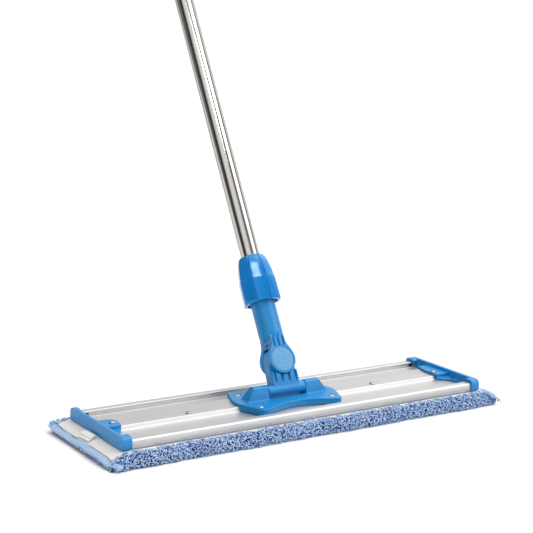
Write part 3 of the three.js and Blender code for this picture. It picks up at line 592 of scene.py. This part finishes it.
rows = [(9.65, 968), (12.0, 968), (12.6, 968.3), (13.3, 969.4), (13.7, 971.5), (13.9, 974)]
for i in range(6):
    z = 984 + 21 * i
    rows += [(14.0, z - 0.6), (13.9, z), (13.45, z + 0.9), (13.05, z + 1.9), (13.0, z + 2.4), (13.05, z + 2.9), (13.45, z + 3.9), (13.9, z + 4.8), (14.0, z + 5.4)]
rows += [(14.15, 1117.5), (14.2, 1119), (14.0, 1120.6), (13.4, 1121.8), (12.8, 1122), (9.65, 1122)]
grip = crisp(lathe(rows, 96, name="grip_sleeve", loop=True), 55)
finish_piece(place(grip), "inner_pole", RUBBER, ["grip"])

end = lathe([(0, 1112), (8.5, 1112), (8.5, 1128.3), (10.4, 1128.3), (10.4, 1122.3), (13.4, 1122.3), (13.7, 1123.5), (13.6, 1128), (12.4, 1134), (8, 1139), (0, 1140)], 72, name="hang_cap")
lug = prism(arc(0, 1153, 12.5, -20, 200, 48) + [(-12, 1132), (12, 1132)], -4, 4, "Y")
combine(end, [lug], "UNION")
combine(end, [rod(6.5, -10, 10, "Y", (0, 1153), 64)], "DIFFERENCE")
soften(end, 0.45, 6)
finish_piece(place(end), "inner_pole", BLUE, ["grip_cap"])


# ---------------------------------------------------------------- fasteners
def fastener(name, node, prof, at, cross=None, hollow=None, turn=0.0):
    ob = lathe(prof, 48, name=name)
    tools = []
    if cross:
        z, half_l, half_w = cross
        for a in (0, 90):
            t = prism([(-half_l, z + 4), (-half_l * 0.86, z + 0.5), (-half_l * 0.5, z), (half_l * 0.5, z), (half_l * 0.86, z + 0.5), (half_l, z + 4)], -half_w, half_w, "Y")
            t.data.transform(Matrix.Rotation(math.radians(a), 4, "Z"))
            tools.append(t)
    if hollow:
        tools.append(rod(hollow[0], hollow[1], 60, "Z", (0, 0), 32))
    if tools:
        combine(ob, tools, "DIFFERENCE")
    ob.data.transform(Matrix.Translation((at[0] * MM, at[1] * MM, 0)) @ Matrix.Rotation(math.radians(turn), 4, "Z"))
    crisp(ob, 35)
    return finish_piece(ob, "head", ZINC, [node])


for side, s, turn in (("left", -1, 22), ("right", 1, 61)):
    fastener(f"cap_screw_head_{side}", f"cap_screw_{side}", [(0, 18.6), (1.75, 19.8), (1.75, 26.7), (3.3, 26.7), (3.5, 26.85), (3.5, 27.1), (3.3, 27.6), (2.8, 28.0),
             (2.0, 28.28), (1.0, 28.4), (0, 28.42)], (s * 220.5, 0), (27.2, 2.0, 0.42), turn=turn)
    fastener(f"plate_rivet_head_{side}", f"plate_rivet_{side}", [(0, 20.2), (1.75, 20.6), (1.75, 23.85), (3.2, 23.85), (3.4, 23.95), (3.4, 24.1), (3.1, 24.7), (2.4, 25.15),
             (1.6, 25.32), (0.95, 25.35), (0, 25.35)], (s * 126.6, 0), None, (0.85, 24.5), turn=turn)
n = 1
for t in (-1, 1):
    for s in (-1, 1):
        z = 26.0
        fastener(f"yoke_screw_head_{n}", f"yoke_screw_{n}", [(0, 17.0), (1.75, 18.4), (1.75, z), (3.6, z), (3.7, z + 0.12), (3.6, z + 0.5), (3.1, z + 1.0), (2.3, z + 1.32),
                 (1.2, z + 1.48), (0, z + 1.5)], (s * 48.3, t * 25.7), (z + 0.5, 1.9, 0.42), turn=17 + 31 * n)
        n += 1

# ---------------------------------------------------------------- CAD nodes that stay: smooth shading and finishes
for node, material in (("hook_strip_front", HOOK), ("hook_strip_rear", HOOK), ("tilt_pin", ZINC), ("swivel_bolt", ZINC), ("swivel_nut", ZINC),
                       ("friction_washer_front", GREY), ("friction_washer_rear", GREY), ("guide_bush", GREY)):
    ob = NODES[node]
    extra = ob.data.attributes.get("custom_normal")
    if extra:
        ob.data.attributes.remove(extra)
    ob.data.shade_smooth()
    weld = ob.modifiers.new("weld", "WELD")
    weld.merge_threshold = 1e-6
    split = ob.modifiers.new("edges", "EDGE_SPLIT")
    split.split_angle = math.radians(32)
    ob.data.materials.clear()
    ob.data.materials.append(material)

# ---------------------------------------------------------------- pad
rng = np.random.default_rng(20)
HALF = 77.0          # half depth of the pile body before its loops
BOTTOM, TOP = 1.9, 13.6


def sink(x, y):
    """How far the pad's top surface hangs below the frame, towards its two free ends."""
    x, y = np.asarray(x, float), np.asarray(y, float)
    left = np.clip((-x - 239.5) / 20.5, 0, 1.3) ** 1.25 * (8.0 + 0.9 * np.sin(y / 19.0) + 6.0 * smoothstep((-y - 54) / 28) - 0.9 * smoothstep((y - 40) / 40))
    right_ = np.clip((x - 241) / 21, 0, 1.3) ** 1.3 * (5.4 + 0.7 * np.sin(y / 17.0 + 1) + 1.2 * smoothstep((-y - 60) / 20))
    return left + right_


def curl(x, y):
    """How far the sole curls up off the floor at the free ends."""
    x, y = np.asarray(x, float), np.asarray(y, float)
    return smoothstep((-x - 242) / 18) * np.interp(y, [-80, 80], [0.2, 2.6]) + smoothstep((x - 246) / 18) * 1.0


def edge_wave(x, side):
    return 0.8 * np.sin(x / 23.0 + side) + 0.5 * np.sin(x / 9.3 + 2 * side) + 0.35 * np.sin(x / 5.1)


def half_depth(x, side):
    end = np.clip((np.abs(x) - 246) / 14, 0, 1)
    return HALF + 0.8 * edge_wave(x, side) - 2.5 * end ** 2


# section of one side of the pile: (distance in from the widest line, height share, normal y, normal z), top to bottom
side_pts = [(11.2, 1.0, 0, 1), (10.0, 1.0, 0, 1)]
for k in range(9):
    a = math.radians(90 - 90 * k / 8)
    side_pts.append((9 - 9 * math.cos(a), 0.38 + 0.62 * math.sin(a), math.cos(a), math.sin(a)))
for k in range(1, 7):
    a = math.radians(-90 * k / 6)
    side_pts.append((3.4 - 3.4 * math.cos(a), 0.38 + 0.38 * math.sin(a), math.cos(a), math.sin(a)))
side_pts = np.array(side_pts)


def side_surface(x, side, u):
    """Point and normal on the front (-1) or rear (1) side at share u of its girth."""
    seg = np.hypot(np.diff(side_pts[:, 0]), np.diff(side_pts[:, 1] * (TOP - BOTTOM)))
    s = np.concatenate([[0], np.cumsum(seg)])
    g = u * s[-1]
    d, w, ny, nz = (np.interp(g, s, side_pts[:, k]) for k in range(4))
    y = side * (half_depth(x, side) - d)
    zb, zt = BOTTOM + curl(x, y), TOP - sink(x, y)
    p = np.stack([x, y, zb + w * (zt - zb)], -1)
    n = np.stack([np.zeros_like(y), side * ny, nz], -1)
    return p, n / np.linalg.norm(n, axis=-1, keepdims=True)


def pile_body():
    xs = np.concatenate([[-258.6, -258.2, -257.2, -255.6], np.arange(-253.2, 254, 2.6), [255.9, 257.6, 258.8, 259.4]])
    flat_bottom = np.linspace(-1, 1, 62)[1:-1]
    flat_top = np.linspace(1, -1, 26)[1:-1]
    verts = []
    for x in xs:
        e = max(0.0, (abs(x) - 253.5) / 6.2)
        squeeze = math.sqrt(max(0.02, 1 - min(e, 0.99) ** 2))
        ring = []
        for d, w, _, _ in side_pts[::-1]:            # rear side, bottom to top
            ring.append((half_depth(x, 1) - d, w))
        yt = half_depth(x, 1) - side_pts[0, 0], half_depth(x, -1) - side_pts[0, 0]
        for t in flat_top:
            ring.append(((yt[0] * (1 + t) - yt[1] * (1 - t)) / 2, 1.0))
        for d, w, _, _ in side_pts:                  # front side, top to bottom
            ring.append((-(half_depth(x, -1) - d), w))
        yb = half_depth(x, 1) - side_pts[-1, 0], half_depth(x, -1) - side_pts[-1, 0]
        for t in flat_bottom:
            ring.append(((yb[0] * (1 + t) - yb[1] * (1 - t)) / 2, 0.0))
        ring = np.array(ring)
        y = ring[:, 0]
        zb, zt = BOTTOM + curl(x, y), TOP - sink(x, y)
        z = zb + (zt - zb) * (0.45 + (ring[:, 1] - 0.45) * squeeze)
        verts.append(np.stack([np.full_like(y, x), y, z], -1))
    verts = np.array(verts)
    n, m = verts.shape[:2]
    faces = [(i * m + k, i * m + (k + 1) % m, (i + 1) * m + (k + 1) % m, (i + 1) * m + k) for i in range(n - 1) for k in range(m)]
    faces += [tuple(range(m)), tuple(range((n - 1) * m, n * m))]
    ob = make("pad_pile_body", verts.reshape(-1, 3), faces)
    me = ob.data
    co, no = np.zeros(len(me.vertices) * 3), np.zeros(len(me.vertices) * 3)
    me.vertices.foreach_get("co", co)
    me.vertices.foreach_get("normal", no)
    co, no = co.reshape(-1, 3), no.reshape(-1, 3)
    h = np.array([noise.noise(Vector(c) * 230) * 0.9 + noise.noise(Vector(c) * 520) * 0.55 for c in co])
    share = np.clip(1.2 - np.maximum(no[:, 2], 0) * 1.4, 0, 1)   # the covered top stays even
    co += no * (h * share * MM)[:, None]
    me.vertices.foreach_set("co", co.ravel())
    me.update()
    return ob


def loops(name, base, normal, radius, span, height, seed, material):
    """Curled yarn loops: short bent tubes standing on the pile."""
    r = np.random.default_rng(seed)
    n = len(base)
    rand = r.normal(size=(n, 3))
    t = rand - (rand * normal).sum(1)[:, None] * normal
    t /= np.linalg.norm(t, axis=1)[:, None]
    b = np.cross(normal, t)
    tilt = r.uniform(-0.55, 0.55, (n, 1))
    out = normal + tilt * b
    out /= np.linalg.norm(out, axis=1)[:, None]
    ring = np.array([0.0, 0.2, 0.4, 0.6, 0.8, 1.0])
    L = r.uniform(*span, n)[:, None, None]
    H = r.uniform(*height, n)[:, None, None]
    R = (radius * r.uniform(0.82, 1.2, n))[:, None, None]
    arch = (4 * ring * (1 - ring))[None, :, None]
    swing = np.sin(2 * np.pi * ring)[None, :, None] * r.uniform(-0.9, 0.9, n)[:, None, None]
    c = base[:, None] + t[:, None] * (ring[None, :, None] - 0.5) * L + out[:, None] * (H * arch ** 0.8 - 0.7) + b[:, None] * swing
    d = np.gradient(c, axis=1)
    d /= np.linalg.norm(d, axis=2, keepdims=True)
    s = np.cross(d, np.broadcast_to(out[:, None], d.shape))
    s /= np.maximum(np.linalg.norm(s, axis=2, keepdims=True), 1e-6)
    w = np.cross(s, d)
    rad = R * (0.78 + 0.3 * np.sin(np.pi * ring))[None, :, None]
    quad = [c + rad * (math.cos(a) * s + math.sin(a) * w) for a in (0.785, 2.356, 3.927, 5.498)]
    v = np.stack(quad, 2)                              # loops, rings, sides, xyz
    v[..., 2] = np.maximum(v[..., 2], 0.05)
    m, k = 6, 4
    idx = np.arange(n * m * k).reshape(n, m, k)
    a, b2 = idx[:, :-1], idx[:, 1:]
    quads = np.stack([a, np.roll(a, -1, 2), np.roll(b2, -1, 2), b2], -1).reshape(-1, 4)
    caps = np.concatenate([idx[:, 0, ::-1], idx[:, -1]])
    f = np.concatenate([quads, caps])
    me = bpy.data.meshes.new(name)
    me.vertices.add(n * m * k)
    me.vertices.foreach_set("co", (v.reshape(-1, 3) * MM).ravel())
    me.loops.add(len(f) * 4)
    me.loops.foreach_set("vertex_index", f.ravel())
    me.polygons.add(len(f))
    me.polygons.foreach_set("loop_start", np.arange(len(f)) * 4)
    me.polygons.foreach_set("loop_total", np.full(len(f), 4))
    me.update(calc_edges=True)
    me.validate()
    tone = np.repeat(r.beta(2.2, 1.8, n), m * k)
    # tip: share towards the apex of each loop, larger for taller loops; the pile material paints shade at the roots and
    # a highlight at the tips from it
    tip = np.repeat(np.tile(np.clip(arch[0, :, 0] * 1.0, 0, 1), (n, 1)) * np.clip(0.55 + H[:, 0] / max(height), 0, 1), k, axis=1).ravel()
    for key, val in (("tone", tone), ("tip", tip)):
        me.attributes.new(key, "FLOAT", "POINT").data.foreach_set("value", val.astype(np.float32))
    me.shade_smooth()
    ob = bpy.data.objects.new(name, me)
    scene.collection.objects.link(ob)
    ob.data.materials.append(material)
    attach(ob, "pad")
    return ob


def jitter_grid(a0, a1, b0, b1, step_a, step_b, seed):
    r = np.random.default_rng(seed)
    na, nb = int((a1 - a0) / step_a), max(1, int(round((b1 - b0) / step_b)))
    a, b = np.meshgrid(np.arange(na), np.arange(nb), indexing="ij")
    a = a0 + (a + 0.5 + r.uniform(-0.45, 0.45, a.shape)) * (a1 - a0) / na
    b = b0 + (b + 0.5 + r.uniform(-0.45, 0.45, b.shape)) * (b1 - b0) / nb
    return a.ravel(), b.ravel()


body = pile_body()
finish_piece(body, "pad", PILE_BASE, ["pad_pile"])
for name, side, seed in (("front", -1, 31), ("rear", 1, 32)):
    x, u = jitter_grid(-255, 256.5, 0.02, 1.0, 2.2, 1 / 13, seed)
    p, nrm = side_surface(x, side, u)
    loops(f"pad_loops_{name}", p, nrm, 0.55, (2.4, 5.4), (1.8, 4.6), seed + 10, PILE)
for name, a, b, seed in (("left", -255, 0, 41), ("right", 0, 256, 42)):
    x, y = jitter_grid(a, b, -71, 71, 3.35, 3.35, seed)
    p = np.stack([x, y, BOTTOM + curl(x, y) - 0.1], -1)
    nrm = np.tile([0.0, 0.0, -1.0], (len(x), 1))
    loops(f"pad_loops_sole_{name}", p, nrm, 0.85, (3.6, 6.2), (1.0, 1.75), seed + 10, PILE)
pts, nrms = [], []
for s, seed in ((-1, 51), (1, 52)):
    y, u = jitter_grid(-74, 74, 0.0, 1.0, 2.3, 1 / 3, seed)
    x = np.full_like(y, s * 257.4)
    zb = BOTTOM + curl(x, y)
    zt = TOP - sink(x, y)
    pts.append(np.stack([x, y, zb + (0.02 + 0.62 * u) * (zt - zb)], -1))
    nn = np.stack([np.full_like(y, s * 0.9), np.zeros_like(y), u - 0.75], -1)
    nrms.append(nn / np.linalg.norm(nn, axis=1)[:, None])
loops("pad_loops_ends", np.concatenate(pts), np.concatenate(nrms), 0.54, (2.4, 4.8), (1.2, 2.8), 61, PILE)

# longer tufts that stand over the hem at the back of the left end and round the right end
x, y = jitter_grid(-257, -238, 71, 80, 1.9, 1.9, 71)
p = np.stack([x, y, 0.55 * (BOTTOM + curl(x, y)) + 0.45 * (TOP - sink(x, y)) + 2.6], -1)
loops("pad_loops_back_corner", p, np.tile([-0.2, 0.6, 0.77], (len(x), 1)), 0.56, (2.8, 5.4), (2.4, 5.2), 72, PILE)
x, y = jitter_grid(243, 259.5, -80, -52, 1.9, 1.9, 73)
p = np.stack([x, y, TOP - sink(x, y) - 0.9 * smoothstep((x - 252) / 6) - 3.4 * smoothstep((-y - 72) / 9)], -1)
keep = (x > 250) | (y < -68)
loops("pad_loops_right_tip", p[keep], np.tile([0.25, -0.3, 0.92], (int(keep.sum()), 1)), 0.56, (2.8, 5.2), (2.2, 4.6), 74, PILE)


def strip_surface(name, grid, thick, cap_ends=True):
    """A closed thin solid from a grid of (x, y, z) points, offset both ways along its normals."""
    g = np.array(grid, float)
    du, dv = np.gradient(g, axis=0), np.gradient(g, axis=1)
    n = np.cross(du, dv)
    n /= np.maximum(np.linalg.norm(n, axis=2, keepdims=True), 1e-9)
    a, b = g + n * thick / 2, g - n * thick / 2
    nu, nv = g.shape[:2]
    v = np.concatenate([a.reshape(-1, 3), b.reshape(-1, 3)])
    off = nu * nv
    f = []
    for i in range(nu - 1):
        for k in range(nv - 1):
            q = (i * nv + k, (i + 1) * nv + k, (i + 1) * nv + k + 1, i * nv + k + 1)
            f.append(q)
            f.append(tuple(off + c for c in reversed(q)))
    rim = [i * nv for i in range(nu)] + [(nu - 1) * nv + k for k in range(1, nv)] + [i * nv + nv - 1 for i in range(nu - 2, -1, -1)] + [k for k in range(nv - 2, 0, -1)]
    for i, p in enumerate(rim):
        q = rim[(i + 1) % len(rim)]
        f.append((p, q, off + q, off + p))
    return make(name, v, f)


# backing cloth
xs = np.concatenate([np.arange(-253.5, -236, 1.25), np.arange(-236, 238, 4.0), np.arange(238, 255.6, 1.25)])
ys = np.linspace(-69.6, 69.6, 60)
X, Y = np.meshgrid(xs, ys, indexing="ij")
free = smoothstep((np.abs(X) - 240) / 8) + smoothstep((np.abs(Y) - 63.5) / 3)
Z = 14.75 - sink(X, Y) + np.clip(free, 0, 1) * (0.18 * np.sin(Y / 6.5 + X / 17) + 0.14 * np.sin(X / 8.0 + Y / 29))
Z -= 0.9 * smoothstep((np.abs(Y) - 66) / 4)
Yw = Y + 0.5 * edge_wave(X, 1) * smoothstep((np.abs(Y) - 66) / 3) * np.sign(Y)
backing = strip_surface("pad_backing_cloth", np.stack([X, Yw, Z], -1), 0.8)
finish_piece(backing, "pad", BACKING, ["pad_backing"])

# bindings: folded tape with three raised lines, wavy where the stitching pulls it
for side, s in (("left", -1), ("right", 1)):
    ys = np.linspace(-82.4 if s < 0 else -79.2, 79.0, 160)
    prof = []
    for k in range(36):
        a = 2 * math.pi * k / 36
        c, q = math.cos(a), math.sin(a)
        w = 4.0 * math.copysign(abs(c) ** 0.8, c)
        h = 2.1 * math.copysign(abs(q) ** 0.85, q)
        if q > 0.05:
            h += 0.45 * math.cos(w * 2 * math.pi / 2.6) * min(1, q * 2)
        prof.append((w, h))
    prof = np.array(prof)
    rows_ = []
    for y in ys:
        wave = 0.3 * math.sin(y / 7.5 + s) + 0.45 * math.sin(y / 17.0 + 2 * s) + 0.1 * math.sin(y / 3.4)
        cxb = s * ((256.2 if s < 0 else 253.8) + 0.75 * wave) + (5.0 * smoothstep((-y - 60) / 22) if s < 0 else -1.2 * smoothstep((-y - 62) / 18))
        slope = math.radians(-24 if s < 0 else -16)
        top = float(14.9 - sink(cxb, y))
        czb = top - (1.75 if s < 0 else 2.6) + 0.2 * math.sin(y / 6.1 + 1.3)
        end = min(1.0, ((83.4 if s < 0 and y < 0 else 80.2) - abs(y)) / 3.2)
        k = math.sqrt(max(0.03, 1 - (1 - end) ** 2))
        thin = 1 - 0.22 * smoothstep((-y - 62) / 20)
        w, h = prof[:, 0] * (0.75 + 0.25 * k) * (1 + 0.04 * math.sin(y / 4.7)) * thin, prof[:, 1] * k
        dx, dz = w * math.cos(slope) - h * math.sin(slope), w * math.sin(slope) + h * math.cos(slope)
        z = np.maximum(czb + dz, 1.1)
        rows_.append(np.stack([cxb + s * dx, np.full_like(dx, y), z], -1))
    rows_ = np.array(rows_)
    n_, m_ = rows_.shape[:2]
    f = [(i * m_ + k, i * m_ + (k + 1) % m_, (i + 1) * m_ + (k + 1) % m_, (i + 1) * m_ + k) for i in range(n_ - 1) for k in range(m_)]
    f += [tuple(range(m_)), tuple(range((n_ - 1) * m_, n_ * m_))]
    tape = make(f"pad_hem_tape_{side}", rows_.reshape(-1, 3), f)
    finish_piece(tape, "pad", BINDING, [f"pad_binding_{side}"])

# folded blank tag lying against the left end cap
path = []
def track(x):
    return 15.35 - float(sink(x, 5.0))
for k in range(9):
    x = -238.0 - 13.2 * k / 8
    path.append((x, track(x) + 0.35))
x, z = path[-1]
path += [(x - 1.1, z + 0.15), (x - 1.55, z + 0.75), (x - 1.1, z + 1.35)]
for k in range(1, 8):
    xx = x + 8.6 * k / 7
    path.append((xx, track(xx) + 1.75 + 0.5 * math.sin(k / 7 * math.pi)))
x, z = path[-1]
path += [(x + 0.9, z + 0.25), (x + 1.2, z + 0.75), (x + 0.8, z + 1.15)]
for k in range(1, 7):
    xx = x - 7.2 * k / 6
    path.append((xx, track(xx) + 3.1 + 0.9 * math.sin(k / 6 * math.pi) - 0.5 * k / 6))
path = np.array(path)
d_ = np.concatenate([[0], np.cumsum(np.hypot(*np.diff(path, axis=0).T))])
t_ = np.linspace(0, d_[-1], 56)
px, pz = np.interp(t_, d_, path[:, 0]), np.interp(t_, d_, path[:, 1])
for _ in range(3):
    px[1:-1], pz[1:-1] = (px[:-2] + 2 * px[1:-1] + px[2:]) / 4, (pz[:-2] + 2 * pz[1:-1] + pz[2:]) / 4
yy = np.linspace(-8.5, 16.0, 26)
G = np.zeros((56, 26, 3))
for k, y in enumerate(yy):
    lift_ = 0.25 * math.sin(y / 5.0) * np.linspace(0, 1, 56)
    G[:, k] = np.stack([px - 0.06 * (y - 4) * np.linspace(0, 1, 56), np.full(56, y) + 0.5 * np.linspace(0, 1, 56), pz - (sink(px, np.full(56, y)) - sink(px, np.full(56, 5.0))) + lift_], -1)
tag = strip_surface("pad_care_tag", G, 0.32)
finish_piece(tag, "pad", TAG, ["pad_tag"])

# ---------------------------------------------------------------- floor, light
floor = make("floor", [(-60000, -60000, 0), (60000, -60000, 0), (60000, 60000, 0), (-60000, 60000, 0)], [(0, 1, 2, 3)], smooth=False)
floor.location.z = -0.0002
fm = bpy.data.materials.new("floor")
fm.use_nodes = True
fm.node_tree.nodes["Principled BSDF"].inputs["Base Color"].default_value = (0.95, 0.95, 0.95, 1)
fm.node_tree.nodes["Principled BSDF"].inputs["Roughness"].default_value = 0.55
fm.node_tree.nodes["Principled BSDF"].inputs["Specular IOR Level"].default_value = 0.2
floor.data.materials.append(fm)

world = bpy.data.worlds.new("studio")
scene.world = world
world.use_nodes = True
wt = world.node_tree
bg = wt.nodes["Background"]
tc = wt.nodes.new("ShaderNodeTexCoord")


def wnode(kind, **kw):
    n = wt.nodes.new(kind)
    for k, v in kw.items():
        setattr(n, k, v)
    return n


def dot(vec):
    n = wnode("ShaderNodeVectorMath", operation="DOT_PRODUCT")
    n.inputs[1].default_value = vec
    wt.links.new(tc.outputs["Generated"], n.inputs[0])
    return n.outputs["Value"]


side_dot, front_dot, z_dot = dot((0.84, -0.543, 0)), dot((-0.543, -0.84, 0)), dot((0, 0, 1))
ang = wnode("ShaderNodeMath", operation="ARCTAN2")
wt.links.new(side_dot, ang.inputs[0])
wt.links.new(front_dot, ang.inputs[1])
share = wnode("ShaderNodeMapRange")
for k, v in zip(("From Min", "From Max", "To Min", "To Max"), (-math.pi, math.pi, 0, 1)):
    share.inputs[k].default_value = v
wt.links.new(ang.outputs[0], share.inputs["Value"])
bands = wnode("ShaderNodeValToRGB")
stops = [(-180, 0.95), (-162, 0.7), (-145, 0.28), (-82, 0.24), (-72, 0.10), (-66, 0.03), (-58, 0.03), (-50, 0.3), (-42, 0.85), (-32, 1.25), (-5, 1.2),
         (10, 0.9), (20, 0.55), (26, 0.16), (46, 0.16), (54, 0.9), (62, 1.7), (84, 1.9), (92, 1.1), (104, 0.35), (118, 0.27), (128, 1.1), (142, 2.2), (156, 2.0), (168, 1.2), (180, 0.95)]
e = bands.color_ramp.elements
while len(e) < len(stops):
    e.new(0.5)
for k, (a, v) in enumerate(stops):
    e[k].position, e[k].color = (a + 180) / 360, (v, v, v, 1)
wt.links.new(share.outputs[0], bands.inputs["Fac"])
fade = wnode("ShaderNodeMapRange", interpolation_type="SMOOTHSTEP")
for k, v in zip(("From Min", "From Max", "To Min", "To Max"), (0.0, 0.05, 0, 1)):
    fade.inputs[k].default_value = v
wt.links.new(z_dot, fade.inputs["Value"])
fade2 = wnode("ShaderNodeMapRange", interpolation_type="SMOOTHSTEP")
for k, v in zip(("From Min", "From Max", "To Min", "To Max"), (0.97, 0.90, 0, 1)):
    fade2.inputs[k].default_value = v
wt.links.new(z_dot, fade2.inputs["Value"])
both = wnode("ShaderNodeMath", operation="MULTIPLY")
wt.links.new(fade.outputs[0], both.inputs[0])
wt.links.new(fade2.outputs[0], both.inputs[1])
mixc = wnode("ShaderNodeMix", data_type="RGBA")
mixc.inputs[6].default_value = (1.2, 1.2, 1.2, 1)
wt.links.new(both.outputs[0], mixc.inputs[0])
wt.links.new(bands.outputs["Color"], mixc.inputs[7])
soft_top = wnode("ShaderNodeMapRange", interpolation_type="SMOOTHSTEP")
for k, v in zip(("From Min", "From Max", "To Min", "To Max"), (0.86, 0.93, 0, 1)):
    soft_top.inputs[k].default_value = v
wt.links.new(z_dot, soft_top.inputs["Value"])
topc = wnode("ShaderNodeMix", data_type="RGBA")
wt.links.new(soft_top.outputs[0], topc.inputs[0])
wt.links.new(mixc.outputs[2], topc.inputs[6])
topc.inputs[7].default_value = (2.2, 2.2, 2.2, 1)
wt.links.new(topc.outputs[2], bg.inputs["Color"])
bg.inputs["Strength"].default_value = 0.86


def area(name, loc, target, size, energy):
    ld = bpy.data.lights.new(name, "AREA")
    ld.shape, ld.size, ld.size_y, ld.energy = "RECTANGLE", size[0], size[1], energy
    ob = bpy.data.objects.new(name, ld)
    ob.location = loc
    ob.rotation_euler = (Vector(target) - Vector(loc)).to_track_quat("-Z", "Y").to_euler()
    scene.collection.objects.link(ob)
    return ob


sun = bpy.data.lights.new("sun", "SUN")
sun.energy, sun.angle = 1.05, math.radians(50)
sun_ob = bpy.data.objects.new("sun", sun)
sun_ob.rotation_euler = Vector((-0.45, 0.25, -1.0)).to_track_quat("-Z", "Y").to_euler()
scene.collection.objects.link(sun_ob)
area("softbox_top", (-0.242, -0.531, 1.29), (0, 0.05, 0.16), (0.22, 0.2), 1.8)
area("key_right", (1.9, -1.2, 1.5), (0, 0, 0.25), (0.9, 1.6), 8)
